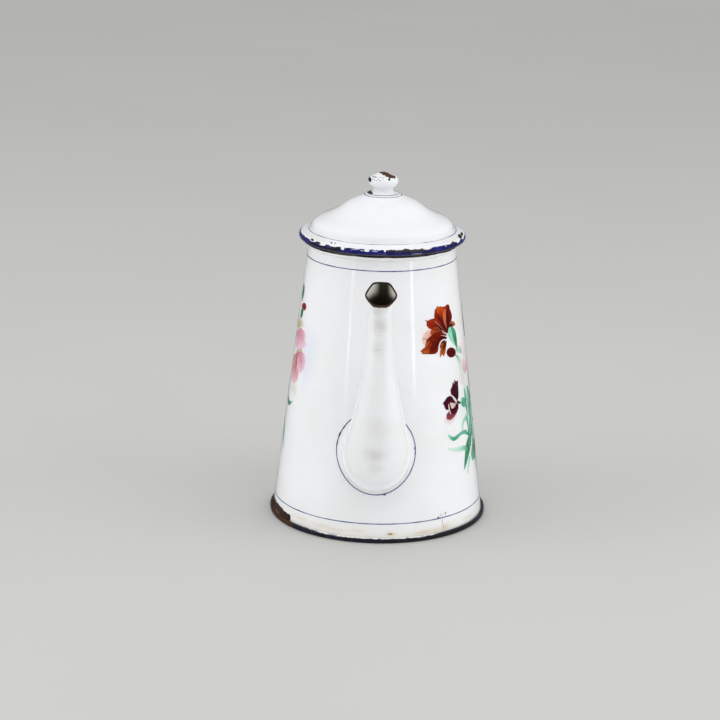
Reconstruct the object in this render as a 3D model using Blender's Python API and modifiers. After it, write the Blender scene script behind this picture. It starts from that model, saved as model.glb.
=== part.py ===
"""Enamel coffee pot: a tapered pot with a lofted spout, a strap handle and a hinged domed lid.

The pot stands on z = 0 with its axis on Z. The spout points to -Y, the handle and hinge to +Y.
"""
import math

import bmesh
import bpy
from mathutils import Matrix, Vector

MM = 0.001

# Clearances and sheets
CLEARANCE = 0.3 * MM
OVERRUN = 4 * MM
BODY_SHEET = 1.0 * MM
BASE_SHEET = 0.8 * MM
LID_SHEET = 0.8 * MM
COLLAR_SHEET = 0.8 * MM
SPOUT_SHEET = 1.0 * MM
HANDLE_SHEET = 1.2 * MM

# Body
FOOT_RADIUS = 68.6 * MM
TOP_RADIUS = 46.7 * MM
BODY_HEIGHT = 181.6 * MM
LIP_RADIUS = 2.0 * MM
SEAM_HEIGHT = 3.2 * MM
SEAM_FLANGE = 1.0 * MM
SEAM_ROUND = 0.5 * MM
LIP_CURL_DEGREES = 290

# Lid
LID_SEAT_DEGREES = 56.5
BEAD_RADIUS = 2.6 * MM
BEAD_CURL_DEGREES = 250
BRIM_WIDTH = 4.6 * MM
BRIM_RISE = 1.6 * MM
DOME_HEIGHT = 22.7 * MM
DOME_SHARES = ((0.220, 0.996), (0.295, 0.930), (0.448, 0.797), (0.552, 0.665), (0.638, 0.533),
               (0.762, 0.401), (0.906, 0.269), (0.969, 0.159), (0.991, 0.048))
COLLAR_RISE = 1.4 * MM
COLLAR_DEPTH = 7.1 * MM

# Knob
KNOB_FOOT_RADIUS = 10.2 * MM
KNOB_FOOT_EDGE = 0.5 * MM
KNOB_NECK_RADIUS = 6.6 * MM
KNOB_FOOT_HEIGHT = 2.2 * MM
KNOB_CAP_RADIUS = 9.7 * MM
KNOB_CAP_HEIGHT = 10.6 * MM
KNOB_FLARE_SHARES = ((0.55, 0.08), (0.20, 0.26), (0.0, 0.53), (0.0, 1.0))
KNOB_CAP_SHARES = ((0.25, 0.970), (0.55, 0.865), (0.85, 0.730), (0.96, 0.620), (1.0, 0.455), (0.95, 0.290),
                   (0.68, 0.070))
STUD_RADIUS = 2.2 * MM
STUD_HEAD_RADIUS = 4.2 * MM
STUD_HEAD_HEIGHT = 1.2 * MM
STUD_END_SHARE = 0.8
STUD_REACH = 4.6 * MM
WASHER_RADIUS = 7.0 * MM
WASHER_SHEET = 0.8 * MM

# Spout, from its foot on the wall to its mouth
SPOUT_FOOT_WIDTH = 44.0 * MM
SPOUT_FOOT_LENGTH = 48.0 * MM
SPOUT_FOOT_LEVEL = 57.0 * MM
SPOUT_FRONT_LEAD = 33.0 * MM
SPOUT_FRONT_RISE = 5.0 * MM
SPOUT_BACK_LEAD = 11.0 * MM
SPOUT_BACK_RISE = 5.0 * MM
SPOUT_NECK_WIDTH = 15.5 * MM
SPOUT_MOUTH_WIDTH = 19.8 * MM
SPOUT_MOUTH_LENGTH = 17.2 * MM
SPOUT_MOUTH_STANDOFF = 58.3 * MM
SPOUT_MOUTH_DROP = 10.7 * MM
SPOUT_MOUTH_DEGREES = 45
SPOUT_FRONT_TAIL = 61.0 * MM
SPOUT_FRONT_LEAN_DEGREES = 11
SPOUT_BACK_TAIL = 44.6 * MM
SPOUT_BACK_LEAN_DEGREES = 15
SPOUT_BACK_PACE = 1.8
SPOUT_STATIONS = 18
SPOUT_SIDES = 10
SPOUT_WIDTH_SHARES = ((0, 1), (0.25, 0.900), (0.35, 0.790), (0.5, 0.560), (0.6, 0.385), (0.68, 0.240),
                      (0.75, 0.137), (0.83, 0.060), (0.9, 0.020), (0.95, 0), (1, 0))
MOUTH_CORNER_SHARES = ((0, 1), (0.5, 1), (1, -0.1), (0.45, -1), (0, -1))
MOUTH_FACET_SHARE = 0.8

# Strainer holes in the wall behind the spout
STRAINER_HOLE_RADIUS = 1.6 * MM
STRAINER_PITCH = 7.0 * MM
STRAINER_ROW_HOLES = (3, 4, 5, 4, 3)

# Handle
HANDLE_WIDTH_TOP = 20.0 * MM
HANDLE_WIDTH_GRIP = 21.0 * MM
HANDLE_WIDTH_FOOT = 15.0 * MM
HANDLE_CROWN = 4.6 * MM
HANDLE_TAB = 16.0 * MM
HANDLE_TOP_SPACE = 5.6 * MM
HANDLE_FOOT_LEVEL = 58.0 * MM
HANDLE_APEX_RISE = 12.0 * MM
HANDLE_APEX_SPACE = 30.5 * MM
HANDLE_REACH_SPACE = 55.5 * MM
HANDLE_REACH_DROP = 19.0 * MM
HANDLE_LEAD_SHARES = ((0.9, 0.75), (0.62, 0.5), (0.5, 0.3))
HANDLE_SPAN_STEPS = (6, 6, 9)
HANDLE_SIDES = 8

# Rivets of the handle and of the hinge bracket
HANDLE_RIVET_RADIUS = 1.7 * MM
HANDLE_RIVET_HEAD = 3.1 * MM
HANDLE_RIVET_PITCH = 8.0 * MM
BRACKET_RIVET_RADIUS = 1.2 * MM
BRACKET_RIVET_HEAD = 2.2 * MM
BRACKET_RIVET_PITCH = 5.8 * MM
RIVET_CROWN_SHARE = 0.55
RIVET_DOME_SHARES = ((0, 1), (0.6, 0.75), (1, 0.15))
RIVET_TAIL_SHARES = ((0.9, 0), (0.8, 1), (0, 1))

# Hinge
HINGE_REACH = 3.6 * MM
PIN_RADIUS = 1.1 * MM
PIN_HEAD_RADIUS = 2.0 * MM
PIN_HEAD_HEIGHT = 0.9 * MM
KNUCKLE_RADIUS = 2.3 * MM
LEAF_SHEET = 1.0 * MM
LEAF_WIDTH = 9.4 * MM
LEAF_OVERLAP = 6.4 * MM
EAR_RADIUS = 2.6 * MM
EAR_THICKNESS = 1.4 * MM
EAR_CREST_DEGREES = 120
BRACKET_SHEET = 1.0 * MM
BRACKET_PLATE = 13.7 * MM
BACK_PLATE_REACH = 3.0 * MM
LID_SWING_DEGREES = 105

# Facets
TURN_STEPS = 48
KNOB_STEPS = 28
RIVET_STEPS = 12
ARC_DEGREES = 32

# Levels and radii that follow from the sizes above
LIP_LEVEL = BODY_HEIGHT - LIP_RADIUS
LIP_RING = TOP_RADIUS + LIP_RADIUS - BODY_SHEET
SEAT_REACH = LIP_RADIUS + BEAD_RADIUS + CLEARANCE
BEAD_RING = LIP_RING + SEAT_REACH * math.cos(math.radians(LID_SEAT_DEGREES))
BEAD_LEVEL = LIP_LEVEL + SEAT_REACH * math.sin(math.radians(LID_SEAT_DEGREES))
LID_RADIUS = BEAD_RING + BEAD_RADIUS
DOME_RADIUS = BEAD_RING - BRIM_WIDTH
DOME_FOOT_LEVEL = BEAD_LEVEL + BEAD_RADIUS + BRIM_RISE
DOME_TOP_LEVEL = DOME_FOOT_LEVEL + DOME_HEIGHT
KNOB_LEVEL = DOME_TOP_LEVEL + CLEARANCE
CAP_LEVEL = KNOB_LEVEL + KNOB_FOOT_HEIGHT + CLEARANCE
COLLAR_TOP = DOME_FOOT_LEVEL + COLLAR_RISE
COLLAR_BOTTOM = BODY_HEIGHT - COLLAR_DEPTH
LEAF_LEVEL = DOME_FOOT_LEVEL + CLEARANCE
HINGE_LEVEL = LEAF_LEVEL + LEAF_SHEET - KNUCKLE_RADIUS
HINGE_Y = LID_RADIUS + HINGE_REACH
STRAP_TOP = LIP_LEVEL - LIP_RADIUS - CLEARANCE
STRAP_BOTTOM = STRAP_TOP - BRACKET_SHEET
PLATE_BOTTOM = STRAP_BOTTOM - BRACKET_PLATE
EAR_OUTSIDE = LEAF_WIDTH / 2 + CLEARANCE + EAR_THICKNESS
SPOUT_MOUTH_LEVEL = BODY_HEIGHT - SPOUT_MOUTH_DROP
SPOUT_FRONT = (SPOUT_FRONT_LEAD, SPOUT_FRONT_RISE, SPOUT_FRONT_TAIL, SPOUT_FRONT_LEAN_DEGREES)
SPOUT_BACK = (SPOUT_BACK_LEAD, SPOUT_BACK_RISE, SPOUT_BACK_TAIL, SPOUT_BACK_LEAN_DEGREES)
HANDLE_TOP_LEVEL = PLATE_BOTTOM - HANDLE_TOP_SPACE


def blend_share(table, share):
    """Read a table of (place, value) shares, in straight steps between its rows."""
    for (start, low), (end, high) in zip(table, table[1:]):
        if share <= end:
            return low + (high - low) * (share - start) / (end - start)
    return table[-1][1]


def wall_radius(level):
    """Outer radius of the tapered wall at a level."""
    return FOOT_RADIUS + (TOP_RADIUS - FOOT_RADIUS) * level / LIP_LEVEL


def dome_radius(rise):
    """Outer radius of the lid's dome at a height above its foot."""
    rows = sorted((up, across) for across, up in DOME_SHARES)
    return DOME_RADIUS * blend_share([(0, 1)] + rows, rise / DOME_HEIGHT)


WALL_LEAN = math.atan2(FOOT_RADIUS - TOP_RADIUS, LIP_LEVEL)


def clear_scene():
    for item in list(bpy.data.objects):
        bpy.data.objects.remove(item, do_unlink=True)
    for group in list(bpy.data.collections):
        bpy.data.collections.remove(group)


def new_collection(name):
    group = bpy.data.collections.new(name)
    bpy.context.scene.collection.children.link(group)
    return group


clear_scene()
PARTS = new_collection("enamel_coffee_pot")
CUTTERS = new_collection("cutters")


def principled(name, colour, roughness, metallic=0):
    material = bpy.data.materials.new(name)
    material.use_nodes = True
    shader = material.node_tree.nodes["Principled BSDF"]
    shader.inputs["Base Color"].default_value = (*colour, 1)
    shader.inputs["Roughness"].default_value = roughness
    shader.inputs["Metallic"].default_value = metallic
    return material


ENAMEL_WHITE = (0.86, 0.87, 0.90)
ENAMEL_NAVY = (0.02, 0.02, 0.09)
BARE_STEEL = (0.45, 0.44, 0.43)


def place(name, mesh, colour, roughness=0.12, metallic=0):
    """Put a mesh in the parts collection as a named piece with its own material."""
    piece = bpy.data.objects.new(name, mesh)
    PARTS.objects.link(piece)
    mesh.materials.append(principled(name + "_finish", colour, roughness, metallic))
    mesh.shade_smooth()
    return piece


def profile_mesh(name, points, closed=False):
    """A profile in the XZ plane, ready to be turned about Z."""
    shape = bmesh.new()
    corners = [shape.verts.new((radius, 0, level)) for radius, level in points]
    for first, second in zip(corners, corners[1:]):
        shape.edges.new((first, second))
    if closed:
        shape.edges.new((corners[-1], corners[0]))
    mesh = bpy.data.meshes.new(name)
    shape.to_mesh(mesh)
    shape.free()
    return mesh


def turn(name, points, colour, steps, closed=False, sheet=0, **finish):
    """Turn a profile about Z; a sheet thickness makes a shell of it, inwards from the profile."""
    piece = place(name, profile_mesh(name, points, closed), colour, **finish)
    screw = piece.modifiers.new("turn", "SCREW")
    screw.steps = steps
    screw.render_steps = steps
    screw.use_merge_vertices = True
    screw.merge_threshold = 0.01 * MM
    if sheet:
        solidify = piece.modifiers.new("sheet", "SOLIDIFY")
        solidify.thickness = sheet
        solidify.offset = -1
        solidify.use_even_offset = True
    return piece


def arc(centre_radius, centre_level, radius, start, sweep):
    """Points of an arc in the profile plane, with its angles in degrees."""
    count = max(2, math.ceil(abs(sweep) / ARC_DEGREES))
    angles = [math.radians(start + sweep * step / count) for step in range(count + 1)]
    return [(centre_radius + radius * math.cos(a), centre_level + radius * math.sin(a)) for a in angles]


def loft_sheet(name, rings):
    """Skin rings that each run along one face of a sheet and back along the other."""
    shape = bmesh.new()
    grid = [[shape.verts.new(point) for point in ring] for ring in rings]
    count = len(grid[0])
    for lower, upper in zip(grid, grid[1:]):
        for step in range(count):
            after = (step + 1) % count
            shape.faces.new((lower[step], lower[after], upper[after], upper[step]))
    for ring in (grid[0], grid[-1]):
        for step in range(count // 2 - 1):
            corners = (step, step + 1, count - 2 - step, count - 1 - step)
            shape.faces.new([ring[corner] for corner in corners])
    bmesh.ops.recalc_face_normals(shape, faces=shape.faces)
    mesh = bpy.data.meshes.new(name)
    shape.to_mesh(mesh)
    shape.free()
    return mesh


def make_cutter(name, shape):
    mesh = bpy.data.meshes.new(name)
    shape.to_mesh(mesh)
    shape.free()
    cutter = bpy.data.objects.new(name, mesh)
    cutter.hide_render = True
    cutter.display_type = "WIRE"
    CUTTERS.objects.link(cutter)
    return cutter


def cut(piece, cutter):
    boolean = piece.modifiers.new("cut_" + cutter.name, "BOOLEAN")
    boolean.operation = "DIFFERENCE"
    boolean.solver = "EXACT"
    boolean.object = cutter


def add_rod(shape, radius, length, sides, matrix):
    """Add a cylinder along the local Z of a matrix to a cutter."""
    bmesh.ops.create_cone(shape, cap_ends=True, segments=sides, radius1=radius, radius2=radius,
                          depth=length, matrix=matrix)


def wall_matrix(level, turn_angle, depth=0):
    """Stand on the outer wall at a level, Z pointing out of it, turned about the pot's axis."""
    lean = Matrix.Rotation(math.pi / 2 - WALL_LEAN, 4, "X")
    radius = wall_radius(level) + depth * math.cos(WALL_LEAN)
    stand = Matrix.Translation((0, -radius, level + depth * math.sin(WALL_LEAN)))
    return Matrix.Rotation(turn_angle, 4, "Z") @ stand @ lean


def make_body_shell():
    """The rolled sheet wall: a lip curled outwards at the top and a flange at the foot."""
    curl = arc(LIP_RING, LIP_LEVEL, LIP_RADIUS - BODY_SHEET, 180 - LIP_CURL_DEGREES, LIP_CURL_DEGREES)
    flange_top = BASE_SHEET + CLEARANCE + BODY_SHEET
    foot = wall_radius(SEAM_HEIGHT)
    points = curl + [(foot, SEAM_HEIGHT), (foot, flange_top), (foot + SEAM_FLANGE, flange_top)]
    return turn("body_shell", points, ENAMEL_WHITE, TURN_STEPS, sheet=BODY_SHEET)


def make_base_plate():
    """The flat base disc with its edge folded up and over the wall's flange."""
    foot = wall_radius(SEAM_HEIGHT)
    inside = foot + CLEARANCE
    outside = foot + SEAM_FLANGE + CLEARANCE + BASE_SHEET
    top = BASE_SHEET + CLEARANCE + BODY_SHEET + CLEARANCE + BASE_SHEET
    points = [(inside, top), (outside - SEAM_ROUND, top), (outside, top - SEAM_ROUND),
              (outside, SEAM_ROUND), (outside - SEAM_ROUND, 0), (0, 0)]
    return turn("base_plate", points, ENAMEL_NAVY, TURN_STEPS, sheet=BASE_SHEET)


def strainer_cutter():
    """Staggered rows of round holes in the wall behind the spout."""
    shape = bmesh.new()
    middle_row = (len(STRAINER_ROW_HOLES) - 1) / 2
    row_pitch = STRAINER_PITCH * math.sin(math.pi / 3)
    for row, holes in enumerate(STRAINER_ROW_HOLES):
        level = SPOUT_FOOT_LEVEL + (row - middle_row) * row_pitch
        for hole in range(holes):
            across = (hole - (holes - 1) / 2) * STRAINER_PITCH
            matrix = wall_matrix(level, across / wall_radius(level))
            add_rod(shape, STRAINER_HOLE_RADIUS, 2 * OVERRUN, 8, matrix)
    return make_cutter("strainer_holes", shape)


def bezier(points, share):
    """Point and heading of a cubic curve in the YZ plane."""
    rest = 1 - share
    a, b, c, d = points
    spot = a * rest ** 3 + b * 3 * rest ** 2 * share + c * 3 * rest * share ** 2 + d * share ** 3
    heading = (b - a) * rest ** 2 + (c - b) * 2 * rest * share + (d - c) * share ** 2
    return spot, heading.normalized()


def spout_line(side, lead, rise, tail, lean_degrees):
    """The spout's front (side -1) or back (side 1) line, from the wall to the mouth's rim."""
    level = SPOUT_FOOT_LEVEL + side * SPOUT_FOOT_LENGTH / 2 * math.cos(WALL_LEAN)
    start = Vector((-wall_radius(level) - CLEARANCE, level))
    tilt = math.radians(SPOUT_MOUTH_DEGREES)
    rim = Vector((math.cos(tilt), math.sin(tilt))) * side * SPOUT_MOUTH_LENGTH / 2
    end = Vector((-wall_radius(SPOUT_MOUTH_LEVEL) - SPOUT_MOUTH_STANDOFF, SPOUT_MOUTH_LEVEL)) + rim
    lean = math.radians(lean_degrees)
    return start, start + Vector((-lead, rise)), end + Vector((math.sin(lean), -math.cos(lean))) * tail, end


def mouth_outline(share):
    """A point on half of the six-sided mouth, by its share of the way round."""
    corners = [Vector(corner) for corner in MOUTH_CORNER_SHARES]
    lengths = [(b - a).length for a, b in zip(corners, corners[1:])]
    left = share * sum(lengths)
    for a, b, length in zip(corners, corners[1:], lengths):
        if left <= length:
            return a.lerp(b, left / length)
        left -= length
    return corners[-1]


def spout_outline(station):
    """Half an outline of the spout in shares: an oval at the foot that turns six-sided at the mouth."""
    facet = MOUTH_FACET_SHARE * max(0, 2 * station - 1)
    points = []
    for step in range(SPOUT_SIDES + 1):
        angle = math.pi * step / SPOUT_SIDES
        oval = Vector((math.sin(angle), math.cos(angle)))
        points.append(oval.lerp(mouth_outline(step / SPOUT_SIDES), facet))
    return points


def spout_width(station):
    """Width across the spout at a share of its run, with the small flare of the mouth."""
    spread = (SPOUT_FOOT_WIDTH - SPOUT_NECK_WIDTH) * blend_share(SPOUT_WIDTH_SHARES, station)
    neck = SPOUT_WIDTH_SHARES[-2][0]
    flare = (SPOUT_MOUTH_WIDTH - SPOUT_NECK_WIDTH) * max(0, station - neck) / (1 - neck)
    return SPOUT_NECK_WIDTH + spread + flare


def spout_section(station, inset):
    """Half a section of the spout in space, at a share of its run."""
    front = bezier(spout_line(-1, *SPOUT_FRONT), station)[0]
    back = bezier(spout_line(1, *SPOUT_BACK), station ** SPOUT_BACK_PACE)[0]
    centre = (front + back) / 2
    reach = (back - front) / 2
    reach -= reach.normalized() * inset
    half = spout_width(station) / 2 - inset
    points = []
    for across, along in spout_outline(station):
        x = across * half + CLEARANCE / 2
        spot = centre + reach * along
        if station == 0:
            spot.x = -math.sqrt((wall_radius(spot.y) + CLEARANCE) ** 2 - x ** 2)
        points.append((x, spot.x, spot.y))
    return points


def make_spout_half(name, side):
    """One pressed half of the spout; the two halves meet on the pot's middle plane."""
    rings = []
    for step in range(SPOUT_STATIONS + 1):
        station = step / SPOUT_STATIONS
        outer = spout_section(station, 0)
        inner = spout_section(station, SPOUT_SHEET)
        ring = outer + inner[::-1]
        rings.append([(side * x, y, z) for x, y, z in ring])
    return place(name, loft_sheet(name, rings), ENAMEL_WHITE)


def wall_point(level):
    """A point on the middle of the handle's sheet where it lies on the wall."""
    return Vector((wall_radius(level) + CLEARANCE + HANDLE_SHEET / 2, level))


def tab_sag(level, width):
    """How far a strip of a width bows when it hugs the wall at a level."""
    return width ** 2 / (8 * wall_radius(level))


def handle_route():
    """The handle's middle line as (point, heading, bow of the tab), from the upper tab to the lower."""
    up = Vector((-math.sin(WALL_LEAN), math.cos(WALL_LEAN)))
    out = Vector((1, 0))
    down = Vector((0, -1))
    top = wall_point(HANDLE_TOP_LEVEL)
    foot = wall_point(HANDLE_FOOT_LEVEL)
    wall = Vector((wall_radius(HANDLE_TOP_LEVEL), HANDLE_TOP_LEVEL))
    apex = wall + Vector((HANDLE_APEX_SPACE, HANDLE_APEX_RISE))
    outer = wall + Vector((HANDLE_REACH_SPACE, -HANDLE_REACH_DROP))
    knots = ((top, up), (apex, out), (outer, down), (foot, -up))
    top_sag = tab_sag(HANDLE_TOP_LEVEL, HANDLE_WIDTH_TOP)
    foot_sag = tab_sag(HANDLE_FOOT_LEVEL, HANDLE_WIDTH_FOOT)
    stations = [(top - up * HANDLE_TAB * back, up, top_sag) for back in (1, 0.5, 0)]
    for start, end, leads, steps in zip(knots, knots[1:], HANDLE_LEAD_SHARES, HANDLE_SPAN_STEPS):
        (first, first_way), (last, last_way) = start, end
        lead_out = first_way * abs((last - first).dot(first_way)) * leads[0]
        lead_in = last_way * abs((last - first).dot(last_way)) * leads[1]
        span = (first, first + lead_out, last - lead_in, last)
        stations += [(*bezier(span, step / steps), 0) for step in range(1, steps + 1)]
    stations.pop()
    stations += [(foot - up * HANDLE_TAB * down_tab, -up, foot_sag) for down_tab in (0, 0.5, 1)]
    return stations


def handle_section(spot, heading, width, crown):
    """A crowned strip across the route: out along one face and back along the other."""
    normal = Vector((heading.y, -heading.x))
    ring = []
    for face in (1, -1):
        for step in range(HANDLE_SIDES + 1):
            across = face * (2 * step / HANDLE_SIDES - 1)
            lift = crown * (1 - across ** 2) + face * HANDLE_SHEET / 2
            point = spot + normal * lift
            ring.append((across * width / 2, point.x, point.y))
    return ring


def make_handle():
    """The strap handle: crowned along the grip, flattened into tabs that hug the wall."""
    stations = handle_route()
    lengths = [0]
    for before, after in zip(stations, stations[1:]):
        lengths.append(lengths[-1] + (after[0] - before[0]).length)
    tab = HANDLE_TAB / lengths[-1]
    top_sag = stations[0][2]
    foot_sag = stations[-1][2]
    crowns = ((0, top_sag), (tab, top_sag), (3 * tab, -HANDLE_CROWN), (1 - 3 * tab, -HANDLE_CROWN),
              (1 - tab, -foot_sag), (1, -foot_sag))
    widths = ((0, HANDLE_WIDTH_TOP), (tab, HANDLE_WIDTH_TOP), (0.4, HANDLE_WIDTH_GRIP),
              (1 - tab, HANDLE_WIDTH_FOOT), (1, HANDLE_WIDTH_FOOT))
    rings = []
    for (spot, heading, sag), length in zip(stations, lengths):
        share = length / lengths[-1]
        seat = spot - Vector((sag, 0))
        rings.append(handle_section(seat, heading, blend_share(widths, share), blend_share(crowns, share)))
    return place("handle", loft_sheet("handle", rings), ENAMEL_WHITE)


def rivet_profile(radius, head, grip):
    """A rivet along Z: a domed head above 0 and a flat tail below the grip."""
    crown = head * RIVET_CROWN_SHARE
    dome = [(head * out, crown * up) for out, up in RIVET_DOME_SHARES]
    tail = [(head * out, -grip - crown * down) for out, down in RIVET_TAIL_SHARES]
    return dome + [(head, 0), (radius, 0), (radius, -grip)] + tail


def make_wall_rivet(name, level, radius, head, sheet):
    """A rivet through a fitted sheet and the wall on the handle side."""
    grip = sheet + CLEARANCE + BODY_SHEET + 2 * CLEARANCE
    rivet = turn(name, rivet_profile(radius, head, grip), ENAMEL_WHITE, RIVET_STEPS)
    rivet.matrix_world = wall_matrix(level, math.pi, sheet + 2 * CLEARANCE)
    return rivet


def rivet_holes(name, levels, radius):
    """A cutter with one clearance hole for each rivet level on the handle side."""
    shape = bmesh.new()
    for level in levels:
        add_rod(shape, radius + CLEARANCE, 2 * OVERRUN, RIVET_STEPS, wall_matrix(level, math.pi))
    return make_cutter(name, shape)


def handle_rivet_levels():
    """Levels of the four handle rivets, two on each tab."""
    step = math.cos(WALL_LEAN)
    middles = (HANDLE_TOP_LEVEL - HANDLE_TAB * step / 2, HANDLE_FOOT_LEVEL - HANDLE_TAB * step / 2)
    half = HANDLE_RIVET_PITCH * step / 2
    return [middle + side * half for middle in middles for side in (1, -1)]


def bracket_rivet_levels():
    middle = (STRAP_BOTTOM + PLATE_BOTTOM) / 2
    half = BRACKET_RIVET_PITCH * math.cos(WALL_LEAN) / 2
    return [middle + half, middle - half]


def side_outline_mesh(name, outline, width):
    """A flat outline in the YZ plane, given its width along X."""
    curve = bpy.data.curves.new(name, "CURVE")
    curve.dimensions = "2D"
    curve.fill_mode = "BOTH"
    curve.extrude = width / 2
    spline = curve.splines.new("POLY")
    spline.points.add(len(outline) - 1)
    for point, (y, z) in zip(spline.points, outline):
        point.co = (y, z, 0, 1)
    spline.use_cyclic_u = True
    guide = bpy.data.objects.new(name + "_outline", curve)
    CUTTERS.objects.link(guide)
    guide.rotation_euler = (math.pi / 2, 0, math.pi / 2)
    bpy.context.view_layer.update()
    mesh = bpy.data.meshes.new_from_object(guide.evaluated_get(bpy.context.evaluated_depsgraph_get()))
    mesh.transform(guide.matrix_world)
    bpy.data.objects.remove(guide, do_unlink=True)
    shape = bmesh.new()
    shape.from_mesh(mesh)
    bmesh.ops.remove_doubles(shape, verts=shape.verts, dist=0.01 * MM)
    bmesh.ops.recalc_face_normals(shape, faces=shape.faces)
    shape.to_mesh(mesh)
    shape.free()
    return mesh


def pin_cutter():
    shape = bmesh.new()
    matrix = Matrix.Translation((0, HINGE_Y, HINGE_LEVEL)) @ Matrix.Rotation(math.pi / 2, 4, "Y")
    add_rod(shape, PIN_RADIUS + CLEARANCE, 2 * (EAR_OUTSIDE + OVERRUN), RIVET_STEPS, matrix)
    return make_cutter("pin_bore", shape)


def back_plate_top():
    """Height of the back plate above the pin, which stops the lid's leaf at the end of its swing."""
    swing = math.radians(LID_SWING_DEGREES)
    return (KNUCKLE_RADIUS + CLEARANCE - BACK_PLATE_REACH * math.sin(swing)) / math.cos(swing)


def make_bracket():
    """The hinge bracket: a plate on the wall, a strap under the lip, two ears and a back plate."""
    thick = BRACKET_SHEET / math.cos(WALL_LEAN)
    inner_top = wall_radius(STRAP_TOP) + CLEARANCE
    inner_bottom = wall_radius(PLATE_BOTTOM) + CLEARANCE
    back = HINGE_Y + BACK_PLATE_REACH + BRACKET_SHEET
    crest = [(HINGE_Y + y, HINGE_LEVEL + z) for y, z in arc(0, 0, EAR_RADIUS, 180, -EAR_CREST_DEGREES)]
    outline = [(inner_bottom, PLATE_BOTTOM), (inner_top, STRAP_TOP), (HINGE_Y - EAR_RADIUS, STRAP_TOP)]
    outline += crest
    plate_top = HINGE_LEVEL + back_plate_top()
    outline += [(back - BRACKET_SHEET, plate_top), (back, plate_top),
                (back, STRAP_BOTTOM), (wall_radius(STRAP_BOTTOM) + CLEARANCE + thick, STRAP_BOTTOM),
                (inner_bottom + thick, PLATE_BOTTOM)]
    blank = side_outline_mesh("hinge_bracket", outline, 2 * EAR_OUTSIDE)
    bracket = place("hinge_bracket", blank, ENAMEL_WHITE)
    channel = bmesh.new()
    bmesh.ops.create_cube(channel, size=1)
    half = LEAF_WIDTH / 2 + CLEARANCE
    front, rear = HINGE_Y - EAR_RADIUS - OVERRUN, HINGE_Y + BACK_PLATE_REACH
    low, high = STRAP_TOP + CLEARANCE, HINGE_LEVEL + EAR_RADIUS + OVERRUN
    bmesh.ops.scale(channel, vec=(2 * half, rear - front, high - low), verts=channel.verts)
    bmesh.ops.translate(channel, vec=(0, (front + rear) / 2, (low + high) / 2), verts=channel.verts)
    cut(bracket, make_cutter("bracket_channel", channel))
    return bracket


def make_leaf():
    """The lid's hinge leaf: a strip on the brim, rolled into a knuckle round the pin."""
    low = KNUCKLE_RADIUS - LEAF_SHEET
    start = 180 - math.degrees(math.asin(low / KNUCKLE_RADIUS))
    front = HINGE_REACH + LEAF_OVERLAP
    knuckle = arc(0, 0, KNUCKLE_RADIUS, start, 450 - start)
    outline = [(-front, low)] + knuckle + [(-front, KNUCKLE_RADIUS)]
    outline = [(HINGE_Y + y, HINGE_LEVEL + z) for y, z in outline]
    return place("lid_hinge_leaf", side_outline_mesh("lid_hinge_leaf", outline, LEAF_WIDTH), ENAMEL_WHITE)


def make_pin():
    """The hinge pin, headed over at both ends outside the ears."""
    inside = EAR_OUTSIDE + CLEARANCE
    outside = inside + PIN_HEAD_HEIGHT
    points = [(0, outside), (PIN_HEAD_RADIUS * 0.7, outside), (PIN_HEAD_RADIUS, (inside + outside) / 2),
              (PIN_HEAD_RADIUS, inside), (PIN_RADIUS, inside)]
    points += [(radius, -level) for radius, level in points[::-1]]
    pin = turn("hinge_pin", points, BARE_STEEL, RIVET_STEPS, roughness=0.35, metallic=1)
    pin.location = (0, HINGE_Y, HINGE_LEVEL)
    pin.rotation_euler = (0, math.pi / 2, 0)
    return pin


def make_lid_shell():
    """The lid's pressing: the dome, the flat brim and the edge rolled into a bead."""
    dome = [(DOME_RADIUS * across, DOME_FOOT_LEVEL + DOME_HEIGHT * up) for across, up in DOME_SHARES]
    bead = arc(BEAD_RING, BEAD_LEVEL, BEAD_RADIUS, 90, -BEAD_CURL_DEGREES)
    points = [(STUD_RADIUS + CLEARANCE, DOME_TOP_LEVEL)] + dome + [(DOME_RADIUS, DOME_FOOT_LEVEL)] + bead
    return turn("lid_shell", points, ENAMEL_WHITE, TURN_STEPS, sheet=LID_SHEET)


def make_lid_collar():
    """The ring under the lid that drops into the pot's mouth."""
    radius = dome_radius(COLLAR_RISE) - LID_SHEET - CLEARANCE
    points = [(radius, COLLAR_TOP), (radius, COLLAR_BOTTOM)]
    return turn("lid_collar", points, ENAMEL_WHITE, TURN_STEPS, sheet=COLLAR_SHEET)


def make_knob_foot():
    """The knob's flared foot, bored for the stud."""
    spread = KNOB_FOOT_RADIUS - KNOB_NECK_RADIUS
    rise = KNOB_FOOT_HEIGHT - KNOB_FOOT_EDGE
    flare = [(KNOB_NECK_RADIUS + spread * out, KNOB_LEVEL + KNOB_FOOT_EDGE + rise * up)
             for out, up in KNOB_FLARE_SHARES[::-1]]
    bore = STUD_RADIUS + CLEARANCE
    points = [(bore, KNOB_LEVEL + KNOB_FOOT_HEIGHT)] + flare
    points += [(KNOB_FOOT_RADIUS, KNOB_LEVEL + KNOB_FOOT_EDGE), (KNOB_FOOT_RADIUS, KNOB_LEVEL)]
    points += [(bore, KNOB_LEVEL)]
    return turn("knob_foot", points, ENAMEL_WHITE, KNOB_STEPS, closed=True)


def make_knob_cap():
    """The knob's button with its blind hole for the stud."""
    side = [(KNOB_CAP_RADIUS * out, CAP_LEVEL + KNOB_CAP_HEIGHT * up) for out, up in KNOB_CAP_SHARES]
    bore = STUD_RADIUS + CLEARANCE
    points = [(0, CAP_LEVEL + KNOB_CAP_HEIGHT)] + side
    points += [(KNOB_NECK_RADIUS, CAP_LEVEL), (bore, CAP_LEVEL),
               (bore, CAP_LEVEL + STUD_REACH + CLEARANCE), (0, CAP_LEVEL + STUD_REACH + CLEARANCE)]
    return turn("knob_cap", points, ENAMEL_WHITE, KNOB_STEPS)


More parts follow.
